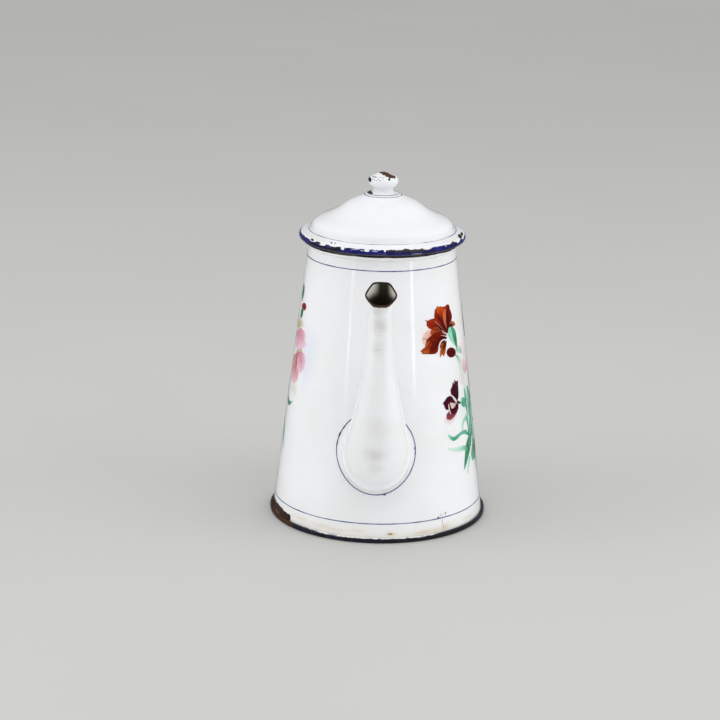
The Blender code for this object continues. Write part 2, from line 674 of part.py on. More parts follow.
def make_knob_fixings():
    """The washer under the dome and the stud that holds the knob down on the lid."""
    washer_top = DOME_TOP_LEVEL - LID_SHEET - CLEARANCE
    washer_bottom = washer_top - WASHER_SHEET
    bore = STUD_RADIUS + CLEARANCE
    ring = [(bore, washer_top), (WASHER_RADIUS, washer_top)]
    ring += [(WASHER_RADIUS, washer_bottom), (bore, washer_bottom)]
    washer = turn("knob_washer", ring, BARE_STEEL, KNOB_STEPS, closed=True, roughness=0.4, metallic=1)
    head = washer_bottom - CLEARANCE
    end = head - STUD_HEAD_HEIGHT
    points = [(0, CAP_LEVEL + STUD_REACH), (STUD_RADIUS, CAP_LEVEL + STUD_REACH), (STUD_RADIUS, head),
              (STUD_HEAD_RADIUS, head), (STUD_HEAD_RADIUS * STUD_END_SHARE, end), (0, end)]
    stud = turn("knob_stud", points, BARE_STEEL, RIVET_STEPS, roughness=0.4, metallic=1)
    return washer, stud


def hang_on_hinge(pieces):
    """Parent the lid's pieces to an empty on the hinge line."""
    hinge = bpy.data.objects.new("lid_hinge_line", None)
    hinge.location = (0, HINGE_Y, HINGE_LEVEL)
    PARTS.objects.link(hinge)
    for piece in pieces:
        piece.parent = hinge
        piece.matrix_parent_inverse = Matrix.Translation((0, -HINGE_Y, -HINGE_LEVEL))


def build():
    shell = make_body_shell()
    make_base_plate()
    make_spout_half("spout_right", 1)
    make_spout_half("spout_left", -1)
    handle = make_handle()
    bracket = make_bracket()
    leaf = make_leaf()
    make_pin()

    cut(shell, strainer_cutter())
    handle_holes = rivet_holes("handle_rivet_holes", handle_rivet_levels(), HANDLE_RIVET_RADIUS)
    bracket_holes = rivet_holes("bracket_rivet_holes", bracket_rivet_levels(), BRACKET_RIVET_RADIUS)
    for piece, cutter in ((shell, handle_holes), (handle, handle_holes), (shell, bracket_holes),
                          (bracket, bracket_holes)):
        cut(piece, cutter)
    bore = pin_cutter()
    cut(bracket, bore)
    cut(leaf, bore)

    for number, level in enumerate(handle_rivet_levels(), 1):
        make_wall_rivet(f"handle_rivet_{number}", level, HANDLE_RIVET_RADIUS, HANDLE_RIVET_HEAD,
                        HANDLE_SHEET)
    for number, level in enumerate(bracket_rivet_levels(), 1):
        make_wall_rivet(f"bracket_rivet_{number}", level, BRACKET_RIVET_RADIUS, BRACKET_RIVET_HEAD,
                        BRACKET_SHEET)

    lid = [leaf, make_lid_shell(), make_lid_collar(), make_knob_foot(), make_knob_cap()]
    lid += make_knob_fixings()
    hang_on_hinge(lid)


build()
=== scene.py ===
# %% [markdown]
# # An enamelled coffee pot, dressed on its CAD frame
# The CAD frame gives every place and size in metres. This lesson adds what plain solids lack:
# smooth turned enamel, a seamless spout, painted lines and flowers, and the chips and rust of long use.

# %% Load the frame
import math

import bmesh
import bpy
from mathutils import Matrix, Vector, noise


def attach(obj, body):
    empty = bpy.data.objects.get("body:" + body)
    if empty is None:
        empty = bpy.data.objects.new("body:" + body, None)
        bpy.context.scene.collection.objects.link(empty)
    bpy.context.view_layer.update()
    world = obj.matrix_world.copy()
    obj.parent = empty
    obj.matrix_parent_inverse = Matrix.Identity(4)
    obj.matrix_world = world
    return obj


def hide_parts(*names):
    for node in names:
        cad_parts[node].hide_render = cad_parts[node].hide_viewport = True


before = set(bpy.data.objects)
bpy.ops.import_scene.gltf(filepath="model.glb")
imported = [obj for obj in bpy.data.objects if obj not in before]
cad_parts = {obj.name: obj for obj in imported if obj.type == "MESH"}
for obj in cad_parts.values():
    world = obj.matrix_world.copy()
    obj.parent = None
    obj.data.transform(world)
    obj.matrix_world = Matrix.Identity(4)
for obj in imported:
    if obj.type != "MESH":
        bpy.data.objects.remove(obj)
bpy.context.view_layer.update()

MM = 0.001
scene = bpy.context.scene
scene.view_settings.view_transform = "Standard"

# %% [markdown]
# ## The camera
# The photograph looks down on the pot by about 16 degrees with a long lens. The camera comes first,
# because the chips and flowers are placed by looking through it.

# %% Camera
CAMERA_DISTANCE = 1400 * MM
CAMERA_HEIGHT = 497 * MM
CAMERA_PITCH = math.radians(15.828)
CAMERA_ROLL = math.radians(0.991)
CAMERA_YAW = math.radians(0.526)
IMAGE_SIZE = 720
FOCAL_PIXELS = 2248.1
SENSOR = 36


def aim_camera():
    turn = Matrix.Rotation(CAMERA_YAW, 3, "Z")
    ahead = turn @ Vector((0, math.cos(CAMERA_PITCH), -math.sin(CAMERA_PITCH)))
    above = turn @ Vector((0, math.sin(CAMERA_PITCH), math.cos(CAMERA_PITCH)))
    right = turn @ Vector((1, 0, 0))
    side = math.cos(CAMERA_ROLL) * right + math.sin(CAMERA_ROLL) * above
    top = math.cos(CAMERA_ROLL) * above - math.sin(CAMERA_ROLL) * right
    lens = bpy.data.cameras.new("photo_camera")
    lens.sensor_width = SENSOR
    lens.lens = FOCAL_PIXELS / IMAGE_SIZE * SENSOR
    camera = bpy.data.objects.new("photo_camera", lens)
    camera.matrix_world = Matrix((side, top, -ahead)).transposed().to_4x4()
    camera.location = (0, -CAMERA_DISTANCE, CAMERA_HEIGHT)
    scene.collection.objects.link(camera)
    scene.camera = camera
    return side, top, ahead


LOOK_RIGHT, LOOK_UP, LOOK_AHEAD = aim_camera()
EYE = Vector((0, -CAMERA_DISTANCE, CAMERA_HEIGHT))


def sight_line(across, down):
    """Heading from the camera through a pixel of the photograph."""
    middle = IMAGE_SIZE / 2
    ray = LOOK_AHEAD * FOCAL_PIXELS + LOOK_RIGHT * (across - middle) + LOOK_UP * (middle - down)
    return ray.normalized()


print("lens", round(scene.camera.data.lens, 1), "mm")

# %% [markdown]
# ## Sizes taken over from the CAD
# The fine pieces repeat the CAD's own sizes, so that each one lies exactly where its solid is.

# %% Sizes
SHEET = 1.0 * MM
THIN_SHEET = 0.8 * MM
WALL_FOOT, WALL_TOP, LIP_LEVEL = 68.6 * MM, 46.7 * MM, 179.6 * MM
LIP_RING, LIP_RADIUS, LIP_CURL = 47.7 * MM, 2.0 * MM, 290
SEAM_LEVEL, BASE_RADIUS = 3.2 * MM, 70.31 * MM
BEAD_RING, BEAD_LEVEL, BEAD_RADIUS, BEAD_CURL = 50.404 * MM, 183.686 * MM, 2.6 * MM, 250
DOME_RADIUS, DOME_LEVEL, DOME_HEIGHT = 45.804 * MM, 187.886 * MM, 22.7 * MM
DOME_SHARES = ((0, 1.0), (0.220, 0.996), (0.295, 0.930), (0.448, 0.797), (0.552, 0.665), (0.638, 0.533),
               (0.762, 0.401), (0.906, 0.269), (0.969, 0.159), (0.991, 0.048), (1, 0))
HINGE_Y, HINGE_LEVEL = 56.604 * MM, 186.886 * MM
WALL_LEAN = math.atan2(WALL_FOOT - WALL_TOP, LIP_LEVEL)
SMOOTH_STEPS = 192


def wall_radius(level):
    """Outer radius of the tapered wall at a level."""
    return WALL_FOOT + (WALL_TOP - WALL_FOOT) * level / LIP_LEVEL


def on_wall(degrees, level, proud=0):
    """A point on the wall, by its angle from the spout's side and its level."""
    angle = math.radians(degrees)
    radius = wall_radius(level) + proud
    return Vector((radius * math.sin(angle), -radius * math.cos(angle), level))


print("the wall leans", round(math.degrees(WALL_LEAN), 2), "degrees")

# %% [markdown]
# ## Sheet, arcs and smooth lines
# Each pressing is one bent sheet. Its section is drawn as a middle line, which is given the thickness
# of the sheet and round ends, because enamel flows round every cut edge before it is fired.

# %% Profile helpers
def arc(centre, radius, start, sweep, pace=12):
    """Points on an arc, with its angles in degrees."""
    count = max(2, round(abs(sweep) / pace))
    turns = [math.radians(start + sweep * step / count) for step in range(count + 1)]
    return [(centre[0] + radius * math.cos(turn), centre[1] + radius * math.sin(turn)) for turn in turns]


def rounded(points, radius, steps=5):
    """Replace each corner of a line with a small curve."""
    line = [Vector(point) for point in points]
    soft = [line[0]]
    for before, corner, after in zip(line, line[1:], line[2:]):
        back, ahead = before - corner, after - corner
        reach = min(radius, back.length * 0.45, ahead.length * 0.45)
        start, end = corner + back.normalized() * reach, corner + ahead.normalized() * reach
        for step in range(steps + 1):
            share = step / steps
            soft.append(start.lerp(corner, share).lerp(corner.lerp(end, share), share))
    return soft + [line[-1]]


def smooth_read(table, share):
    """Read a table of (place, value) pairs along a smooth curve through its rows."""
    rows = list(table)
    last = len(rows) - 1
    slopes = []
    for row in range(last + 1):
        low, high = rows[max(row - 1, 0)], rows[min(row + 1, last)]
        slopes.append((high[1] - low[1]) / (high[0] - low[0]))
    for row in range(last):
        (start, first), (end, second) = rows[row], rows[row + 1]
        if share <= end or row == last - 1:
            width = end - start
            t = min(max((share - start) / width, 0), 1)
            rest = 1 - t
            return (first * (1 + 2 * t) * rest * rest + slopes[row] * width * t * rest * rest
                    + second * t * t * (3 - 2 * t) - slopes[row + 1] * width * t * t * rest)


def smooth_line(points, steps):
    """A smooth line through flat points, with extra points between each two."""
    spans = [0]
    for first, second in zip(points, points[1:]):
        spans.append(spans[-1] + (Vector(second) - Vector(first)).length)
    across = [(span, point[0]) for span, point in zip(spans, points)]
    level = [(span, point[1]) for span, point in zip(spans, points)]
    places = [first + (second - first) * step / steps
              for first, second in zip(spans, spans[1:]) for step in range(steps)] + [spans[-1]]
    return [(smooth_read(across, place), smooth_read(level, place)) for place in places]


def way_at(line, step):
    """The way from the point before to the point after, along a line with two ends."""
    return line[min(step + 1, len(line) - 1)] - line[max(step - 1, 0)]


def sheet_outline(middle, thickness):
    """The closed outline of a bent sheet, from its middle line."""
    line = [Vector(point) for point in middle]
    line = [point for point, after in zip(line, line[1:]) if (after - point).length > 0.02 * MM] + [line[-1]]
    ways = [(after - point).normalized() for point, after in zip(line, line[1:])]
    half = thickness / 2
    left, right = [], []
    for step, point in enumerate(line):
        before, after = ways[max(step - 1, 0)], ways[min(step, len(ways) - 1)]
        way = (before + after).normalized()
        side = Vector((-way.y, way.x)) * half / max(way.dot(after), 0.5)
        left.append(point + side)
        right.append(point - side)
    nose, tail = line[-1] + ways[-1] * half * 0.7, line[0] - ways[0] * half * 0.7
    return left + [nose] + right[::-1] + [tail]


print("profile helpers ready")

# %% [markdown]
# ## Turning and extruding
# Nearly everything on the pot was spun or pressed round one axis. One edge chain and `bmesh.ops.spin`
# make such a piece; doubles are merged first, and only then are its faces turned outwards. The spout,
# the handle and the paint films are rows of points, extruded one after the other.

# %% Lathe
def chain(shape, points, closed=True):
    """A chain of edges in the plane of the axis."""
    corners = [shape.verts.new((point[0], 0, point[1])) for point in points]
    edges = [shape.edges.new(pair) for pair in zip(corners, corners[1:])]
    if closed:
        edges.append(shape.edges.new((corners[-1], corners[0])))
    return corners + edges


def links(ring, closed):
    """Neighbouring pairs along a chain of points, or round a loop."""
    pairs = list(zip(ring, ring[1:]))
    return [(ring[-1], ring[0])] + pairs if closed else pairs


def extrude_rows(shape, rows, closed=False):
    """Extrude a chain or loop of points through all the rows, and hand back the points row by row."""
    ring = [shape.verts.new(point) for point in rows[0]]
    for pair in links(ring, closed):
        shape.edges.new(pair)
    grid = [ring]
    for row in rows[1:]:
        edges = [shape.edges.get(pair) for pair in links(ring, closed)]
        made = bmesh.ops.extrude_edge_only(shape, edges=edges)["geom"]
        fresh = {item for item in made if isinstance(item, bmesh.types.BMVert)}
        ring = [next(edge.other_vert(vert) for edge in vert.link_edges if edge.other_vert(vert) in fresh)
                for vert in ring]
        for vert, point in zip(ring, row):
            vert.co = point
        grid.append(ring)
    return grid


def skin(rings, tube):
    """A skin through all the rings: a tube closed on itself, or a bar with both ends filled."""
    shape = bmesh.new()
    extrude_rows(shape, rings, closed=True)
    ends = [edge for edge in shape.edges if edge.is_boundary]
    if tube:
        bmesh.ops.bridge_loops(shape, edges=ends)
    else:
        bmesh.ops.edgeloop_fill(shape, edges=ends)
    bmesh.ops.recalc_face_normals(shape, faces=shape.faces)
    return shape


def lathe(points, closed=True, steps=SMOOTH_STEPS):
    """Turn an outline round the pot's axis."""
    shape = bmesh.new()
    bmesh.ops.spin(shape, geom=chain(shape, points, closed), cent=(0, 0, 0), axis=(0, 0, 1),
                   angle=2 * math.pi, steps=steps, use_merge=True)
    bmesh.ops.remove_doubles(shape, verts=shape.verts, dist=0.003 * MM)
    bmesh.ops.recalc_face_normals(shape, faces=shape.faces)
    return shape


def new_object(name, shape):
    """Turn a bmesh into an object of the scene."""
    mesh = bpy.data.meshes.new(name)
    shape.to_mesh(mesh)
    shape.free()
    made = bpy.data.objects.new(name, mesh)
    scene.collection.objects.link(made)
    return made


def keep(name, shape, body, *materials, stands_for=(), slot="white_enamel", crease=40):
    """Turn a bmesh into a piece of the pot that rides on a body."""
    piece = new_object(name, shape)
    mesh = piece.data
    mesh.shade_smooth()
    mesh.set_sharp_from_angle(angle=math.radians(crease))
    for material in materials:
        mesh.materials.append(material)
    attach(piece, body)
    if stands_for:
        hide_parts(*stands_for)
    print(name, len(mesh.polygons), "faces")
    return piece


def line_inside(mesh, is_inside):
    """Give the faces on the inside of a vessel the piece's second material."""
    for face in mesh.polygons:
        if is_inside(face.center, face.normal):
            face.material_index = 1


# %% [markdown]
# ## Nodes in short words
# Materials are built from a few small helpers, so that each finish reads like a recipe.

# %% Node helpers
def node(tree, kind, **settings):
    made = tree.nodes.new(kind)
    for name, value in settings.items():
        setattr(made, name, value)
    return made


def feed(tree, socket, value):
    """Link an output into a socket, or set a plain number or colour on it."""
    if isinstance(value, bpy.types.NodeSocket):
        tree.links.new(value, socket)
    elif isinstance(value, (tuple, list)) and socket.type == "RGBA" and len(value) == 3:
        socket.default_value = (*value, 1)
    else:
        socket.default_value = value


def calc(tree, operation, *terms):
    made = node(tree, "ShaderNodeMath", operation=operation)
    for socket, term in zip(made.inputs, terms):
        feed(tree, socket, term)
    return made.outputs[0]


def times(tree, first, second):
    return calc(tree, "MULTIPLY", first, second)


def plus(tree, first, second):
    return calc(tree, "ADD", first, second)


def minus(tree, first, second):
    return calc(tree, "SUBTRACT", first, second)


def vector_calc(tree, operation, *terms):
    made = node(tree, "ShaderNodeVectorMath", operation=operation)
    for socket, term in zip(made.inputs, terms):
        feed(tree, socket, term)
    return made.outputs["Value" if operation in ("LENGTH", "DOT_PRODUCT") else "Vector"]


def mix(tree, factor, first, second, blend="MIX"):
    made = node(tree, "ShaderNodeMix", data_type="RGBA", blend_type=blend)
    for socket, value in ((made.inputs[0], factor), (made.inputs[6], first), (made.inputs[7], second)):
        feed(tree, socket, value)
    return made.outputs[2]


def remap(tree, value, low, high, start=0.0, end=1.0, smooth=True):
    """Move a value from one range to another, with soft ends."""
    made = node(tree, "ShaderNodeMapRange", interpolation_type="SMOOTHSTEP" if smooth else "LINEAR")
    for name, given in (("Value", value), ("From Min", low), ("From Max", high), ("To Min", start),
                        ("To Max", end)):
        feed(tree, made.inputs[name], given)
    return made.outputs["Result"]


def cloud(tree, place, scale, detail=3.0, roughness=0.55):
    """Soft noise from 0 to 1, by the number of features in a metre."""
    made = node(tree, "ShaderNodeTexNoise")
    for name, given in (("Vector", place), ("Scale", scale), ("Detail", detail), ("Roughness", roughness)):
        feed(tree, made.inputs[name], given)
    return made.outputs["Fac"]


def new_material(name):
    """A material with its node tree, its Principled shader and its place in metres."""
    material = bpy.data.materials.new(name)
    material.use_nodes = True
    tree = material.node_tree
    return material, tree, tree.nodes["Principled BSDF"], node(tree, "ShaderNodeTexCoord").outputs["Object"]


def new_group(name, inputs, outputs):
    """A node group with named sockets; returns it with its input and output nodes."""
    group = bpy.data.node_groups.new(name, "ShaderNodeTree")
    for label, kind in inputs:
        group.interface.new_socket(name=label, in_out="INPUT", socket_type="NodeSocket" + kind)
    for label, kind in outputs:
        group.interface.new_socket(name=label, in_out="OUTPUT", socket_type="NodeSocket" + kind)
    return group, node(group, "NodeGroupInput").outputs, node(group, "NodeGroupOutput").inputs


def use_group(tree, group, **values):
    """Place a group in a material; underscores in the names stand for spaces."""
    made = node(tree, "ShaderNodeGroup", node_tree=group)
    for name, value in values.items():
        feed(tree, made.inputs[name.replace("_", " ")], value)
    return made.outputs


print("node helpers ready")

# %% [markdown]
# ## Enamel
# Vitreous enamel is glass melted on to steel. It is glossy and nearly white, a little uneven in tone,
# with the faint waviness of a fired coat and a few dark specks.

# %% Enamel group
def make_enamel_group():
    group, given, out = new_group(
        "fired_enamel",
        (("Place", "Vector"), ("Colour", "Color"), ("Unevenness", "Float"), ("Specks", "Float")),
        (("Colour", "Color"), ("Roughness", "Float"), ("Height", "Float")))
    patches = cloud(group, given["Place"], 28, 4)
    tone = remap(group, patches, 0.35, 0.7, 1.0, 0.0)
    shaded = mix(group, times(group, tone, given["Unevenness"]), given["Colour"],
                 mix(group, 1.0, given["Colour"], (0.90, 0.89, 0.84), "MULTIPLY"))
    cells = node(group, "ShaderNodeTexVoronoi", feature="F1")
    feed(group, cells.inputs["Vector"], given["Place"])
    feed(group, cells.inputs["Scale"], 140)
    rare = calc(group, "GREATER_THAN", cloud(group, given["Place"], 90, 2), 0.60)
    dot = remap(group, cells.outputs["Distance"], 0.055, 0.085, 1.0, 0.0)
    speck = times(group, times(group, dot, rare), given["Specks"])
    feed(group, out["Colour"], mix(group, speck, shaded, (0.12, 0.11, 0.12)))
    fine = cloud(group, given["Place"], 900, 2)
    smear = cloud(group, given["Place"], 60, 3)
    rough = plus(group, remap(group, smear, 0.4, 0.75, 0.07, 0.16), times(group, fine, 0.02))
    feed(group, out["Roughness"], plus(group, rough, times(group, speck, 0.4)))
    waves = times(group, cloud(group, given["Place"], 130, 2), 0.00004)
    feed(group, out["Height"], plus(group, waves, times(group, fine, 0.0000015)))
    return group


ENAMEL = make_enamel_group()
print("group", ENAMEL.name)

# %% [markdown]
# ## Chips, stains and halos
# Where enamel is knocked off, the dark ground coat shows with a sharp ragged edge and brown rust round
# it. A stain or an airbrushed halo is the same patch with a soft edge, so one group makes them all.

# %% Patch group
def make_patch_group():
    group, given, out = new_group(
        "patch", (("Place", "Vector"), ("Centre", "Vector"), ("Reach", "Vector"), ("Noise", "Float"),
                  ("Ragged", "Float"), ("Softness", "Float")), (("Mask", "Float"),))
    away = vector_calc(group, "SUBTRACT", given["Place"], given["Centre"])
    distance = vector_calc(group, "LENGTH", vector_calc(group, "DIVIDE", away, given["Reach"]))
    rough = minus(group, given["Noise"], 0.5)
    edge = plus(group, distance, times(group, rough, given["Ragged"]))
    inner = minus(group, 1.0, given["Softness"])
    feed(group, out["Mask"], remap(group, edge, inner, 1.0, 1.0, 0.0))
    return group


PATCH = make_patch_group()
CHIP_DARK = (0.018, 0.014, 0.016)
RUST = (0.16, 0.065, 0.028)
DARK_RUST = (0.060, 0.021, 0.008)
STAIN = (0.62, 0.50, 0.33)


class Coat:
    """One Principled enamel in the making: its tree, place, colour, roughness and height so far."""

    def __init__(self, name, colour, unevenness=0.35, specks=0.0):
        self.material, self.tree, self.shader, self.place = new_material(name)
        skin = use_group(self.tree, ENAMEL, Place=self.place, Colour=colour, Unevenness=unevenness,
                         Specks=specks)
        self.colour, self.roughness, self.height = skin["Colour"], skin["Roughness"], skin["Height"]
        self.noises = {}

    def noise(self, grain, detail=4, roughness=0.6):
        """One noise for each grain, shared by all the marks of the coat."""
        if grain not in self.noises:
            self.noises[grain] = cloud(self.tree, self.place, grain, detail, roughness)
        return self.noises[grain]

    def axes(self):
        split = node(self.tree, "ShaderNodeSeparateXYZ")
        feed(self.tree, split.inputs[0], self.place)
        return split.outputs

    def cover(self, mask, colour, roughness=None, sink=0.0):
        """Lay a colour over the coat where a mask is white."""
        self.colour = mix(self.tree, mask, self.colour, colour)
        if roughness is not None:
            kept = times(self.tree, self.roughness, minus(self.tree, 1.0, mask))
            self.roughness = plus(self.tree, kept, times(self.tree, mask, roughness))
        if sink:
            self.height = minus(self.tree, self.height, times(self.tree, mask, sink))

    def wander(self, grain, width, detail=4, roughness=0.6):
        """A noise that moves an edge to and fro within a width, in metres."""
        drift = minus(self.tree, self.noise(grain, detail, roughness), 0.5)
        return times(self.tree, drift, width)

    def mark(self, at, half, colour, ragged, softness, grain, strength=1.0, roughness=None, sink=0.0):
        """One mark of colour at a point of the pot; its half sizes (across, deep, high) are in mm."""
        mask = use_group(self.tree, PATCH, Place=self.place, Centre=at, Reach=tuple(size * MM for size in half),
                         Noise=self.noise(grain), Ragged=ragged, Softness=softness)["Mask"]
        if strength < 1:
            mask = times(self.tree, mask, strength)
        self.cover(mask, colour, roughness, sink)

    def stain(self, at, half, colour, strength, ragged=0.9):
        """A soft mark with no edge of its own, used for stains, airbrushed halos and painted shade."""
        self.mark(at, half, colour, ragged, 1.0, 160, strength)

    def chip(self, at, half, ragged=0.9, grain=900, colour=CHIP_DARK, rust=0.0):
        """Knock a chip out of the coat, with an optional stain of rust round it."""
        if rust:
            self.mark(at, [size * 1.9 for size in half], RUST, ragged * 0.7, 0.8, grain, rust, 0.35)
        self.mark(at, half, colour, ragged, 0.12, grain, roughness=0.5, sink=0.00006)

    def finish(self):
        bump = node(self.tree, "ShaderNodeBump")
        bump.inputs["Distance"].default_value = 1.0
        feed(self.tree, bump.inputs["Height"], self.height)
        for name, value in (("IOR", 1.5), ("Normal", bump.outputs["Normal"]), ("Base Color", self.colour),
                            ("Roughness", self.roughness)):
            feed(self.tree, self.shader.inputs[name], value)
        return self.material


print("group", PATCH.name)

# %% [markdown]
# ## Where the marks sit
# Each mark was measured as a pixel of the photograph. The sight line through that pixel is followed to
# the level or the ring that carries the mark, so the mark stays on the pot from every side.

# %% Marks by sight
SIGHT_START, SIGHT_STEP, SIGHT_STEPS = 1.15, 0.00025, 1600


def seen_on_ring(across, down, radius):
    """The point in front of the axis where a sight line passes nearest to a turned surface."""
    ray = sight_line(across, down)
    best = None
    for step in range(SIGHT_STEPS):
        point = EYE + ray * (SIGHT_START + step * SIGHT_STEP)
        gap = math.hypot(point.x, point.y) - radius(point.z)
        if best is None or gap < best[0]:
            best = (gap, point)
        if gap < 0:
            break
    return best[1]


def seen_on_wall(across, down):
    return seen_on_ring(across, down, wall_radius)


def seen_on_foot(across, down):
    """On the base's bead below the seam, and on the wall above it."""
    return seen_on_ring(across, down, lambda level: BASE_RADIUS if level < SEAM_LEVEL else wall_radius(level))


def seen_on_bead(across, down):
    """On the round of the lid's bead."""
    def radius(level):
        rise = min(max(level - BEAD_LEVEL, -BEAD_RADIUS), BEAD_RADIUS)
        return BEAD_RING + math.sqrt(BEAD_RADIUS ** 2 - rise ** 2)
    return seen_on_ring(across, down, radius)


# %% White coat of the body
WHITE = (0.80, 0.812, 0.835)
NAVY = (0.010, 0.011, 0.032)
NEAR_BLACK = (0.012, 0.010, 0.014)
WALL_CHIPS = (
    # pixel across, pixel down, half width, half height (mm), strength of the rust round it
    (343.5, 434, 0.45, 1.5, 0.2), (342.2, 439.5, 0.5, 1.9, 0.2), (341.5, 446, 0.35, 1.2, 0.0),
    (414.8, 448, 0.4, 1.5, 0.0), (415, 453, 0.35, 0.8, 0.0), (384.5, 494.8, 1.0, 0.4, 0.2),
    (378, 494.6, 0.8, 0.25, 0.0), (438.3, 517.6, 0.55, 0.7, 0.3), (445.3, 513, 0.3, 0.7, 0.5),
    (285.5, 513.5, 2.4, 1.2, 0.0), (289, 516.5, 1.1, 2.0, 0.0))
WALL_RUST = (
    # the rust that has crept up from the base: pixel across, pixel down, half width, half height (mm)
    (274, 500, 1.5, 3.2), (275.5, 504, 1.8, 3.2), (278, 507.5, 2.2, 3.0), (281, 511, 3.0, 3.0),
    (284.5, 515, 3.0, 2.7), (288, 518.5, 2.0, 2.3))
WALL_STAINS = (
    # pixel across, pixel down, half width, half height (mm), strength
    (300, 518, 9, 2.5, 0.30), (322, 526, 14, 2.6, 0.34), (338, 530, 9, 2.0, 0.30), (356, 531, 10, 2.4, 0.26),
    (430, 531, 14, 2.8, 0.42), (446, 527, 8, 4.0, 0.40), (420, 533, 8, 1.6, 0.42), (468, 517, 5, 2.0, 0.36),
    (391, 534, 6, 2.4, 0.65), (442, 516, 5, 3.0, 0.30), (444.5, 526, 2.6, 3.2, 0.55))
HALOS = (
    # the airbrushed glow behind the flowers: as above, with a colour before the strength
    (309, 350, 9, 26, (0.62, 0.66, 0.82), 0.40), (305, 372, 7, 18, (0.62, 0.66, 0.82), 0.30),
    (302, 324, 2.4, 5, (0.56, 0.54, 0.38), 0.45), (294, 388, 3, 6, (0.56, 0.56, 0.38), 0.50),
    (430, 312, 10, 16, (0.74, 0.74, 0.80), 0.40), (424, 336, 6, 10, (0.80, 0.68, 0.66), 0.40),
    (459, 322, 5, 9, (0.72, 0.72, 0.58), 0.35), (461, 368, 6, 11, (0.62, 0.66, 0.54), 0.45),
    (450, 418.5, 6, 5, (0.62, 0.36, 0.38), 0.55), (463, 410, 5, 12, (0.60, 0.72, 0.66), 0.35))
# pixel across, pixel down, half height (mm)
WALL_CRACKS = ((442.3, 521.5, 2.6), (443.2, 526, 1.6), (441, 514.5, 1.2))
# how far marks reach along the line of sight (mm), so that they fade before the far side of the pot
SOFT_DEPTH, BASE_DEPTH, RUST_DEPTH, CHIP_DEPTH, BEAD_DEPTH, KNOB_DEPTH = 30, 20, 16, 12, 5, 4
LIP_EDGE, SEAM_EDGE, SEAM_RISE = (179.50 * MM, 179.70 * MM), (2.95 * MM, 3.10 * MM), 0.7 * MM


def wall_coat():
    coat = Coat("body_enamel", WHITE, specks=0.12)
    tree = coat.tree
    level = coat.axes()["Z"]
    drift = coat.wander(45, 0.008, 3)
    aged = remap(tree, plus(tree, level, drift), 0.002, 0.014, 0.45, 0.0)
    coat.cover(aged, (0.80, 0.775, 0.70))
    for across, down, wide, high, colour, strength in HALOS:
        coat.stain(seen_on_wall(across, down), (wide, SOFT_DEPTH, high), colour, strength, 0.5)
    for across, down, wide, high, strength in WALL_STAINS:
        coat.stain(seen_on_foot(across, down), (wide, SOFT_DEPTH, high), STAIN, strength)
    for across, down, high in WALL_CRACKS:
        coat.mark(seen_on_foot(across, down), (0.28, CHIP_DEPTH, high), (0.24, 0.13, 0.06), 0.7, 0.5, 900, 0.7)
    coat.mark(seen_on_foot(390.5, 534.2), (1.9, CHIP_DEPTH, 0.75), (0.26, 0.14, 0.045), 0.9, 0.55, 600,
              strength=0.9, roughness=0.5)
    for across, down, wide, high in WALL_RUST:
        coat.mark(seen_on_foot(across, down), (wide, RUST_DEPTH, high), DARK_RUST, 0.5, 0.22, 600,
                  roughness=0.55, sink=0.00004)
    for across, down, wide, high, rust in WALL_CHIPS:
        coat.chip(seen_on_foot(across, down), (wide, CHIP_DEPTH, high), rust=rust)
    # the top of the rolled lip, in the gap under the lid's bead, turns near black mottled with brown
    lip = remap(tree, plus(tree, level, times(tree, drift, 0.3)), *LIP_EDGE)
    worn = remap(tree, coat.noise(170), 0.46, 0.60)
    coat.cover(lip, mix(tree, worn, NEAR_BLACK, (0.070, 0.048, 0.034)), 0.35)
    return coat.finish()


def inside_coat():
    """The lining: white enamel with brown tide lines of old coffee."""
    coat = Coat("lining_enamel", (0.74, 0.73, 0.70), specks=0.6)
    tree = coat.tree
    height = plus(tree, coat.axes()["Z"], coat.wander(22, 0.020, 4, 0.55))
    coat.cover(remap(tree, height, 0.0, 0.12, 0.62, 0.10), (0.42, 0.29, 0.17))
    for tide, width in ((0.118, 0.0012), (0.104, 0.0008), (0.074, 0.0015), (0.041, 0.0010)):
        line = calc(tree, "ABSOLUTE", minus(tree, height, tide))
        coat.cover(remap(tree, line, 0.0, width, 0.45, 0.0), (0.30, 0.18, 0.09))
    return coat.finish()


BODY_ENAMEL, LINING = wall_coat(), inside_coat()
print("coats", BODY_ENAMEL.name, LINING.name)

# %% [markdown]
# ## The body's wall
# A tapered sheet with its lip rolled outwards and its foot flanged. The holes behind the spout and for
# the rivets are drilled with an exact boolean, which is applied before the piece is kept.

# %% Body wall
HOLE_RADIUS, HOLE_PITCH, HOLE_ROWS, HOLE_LEVEL = 1.6 * MM, 7.0 * MM, (3, 4, 5, 4, 3), 57.0 * MM
HANDLE_RIVETS = (153.03 * MM, 145.09 * MM, 54.03 * MM, 46.09 * MM)
BRACKET_RIVETS = (172.33 * MM, 166.57 * MM)
HANDLE_BORE, BRACKET_BORE, DRILL_LENGTH = 2.0 * MM, 1.5 * MM, 8 * MM
WALL_STEPS = 24
FLANGE_LEVEL, FLANGE_WIDTH = 1.6 * MM, 1.4 * MM
LINING_TOP = 178 * MM


def wall_stand(level, turn_angle, depth=0.0):
    """Stand on the outer wall at a level, Z pointing out of it, turned about the pot's axis."""
    lean = Matrix.Rotation(math.pi / 2 - WALL_LEAN, 4, "X")
    radius = wall_radius(level) + depth * math.cos(WALL_LEAN)
    stand = Matrix.Translation((0, -radius, level + depth * math.sin(WALL_LEAN)))
    return Matrix.Rotation(turn_angle, 4, "Z") @ stand @ lean


def drill(shape, radius, matrix):
    bmesh.ops.create_cone(shape, cap_ends=True, segments=20, radius1=radius, radius2=radius,
                          depth=DRILL_LENGTH, matrix=matrix)


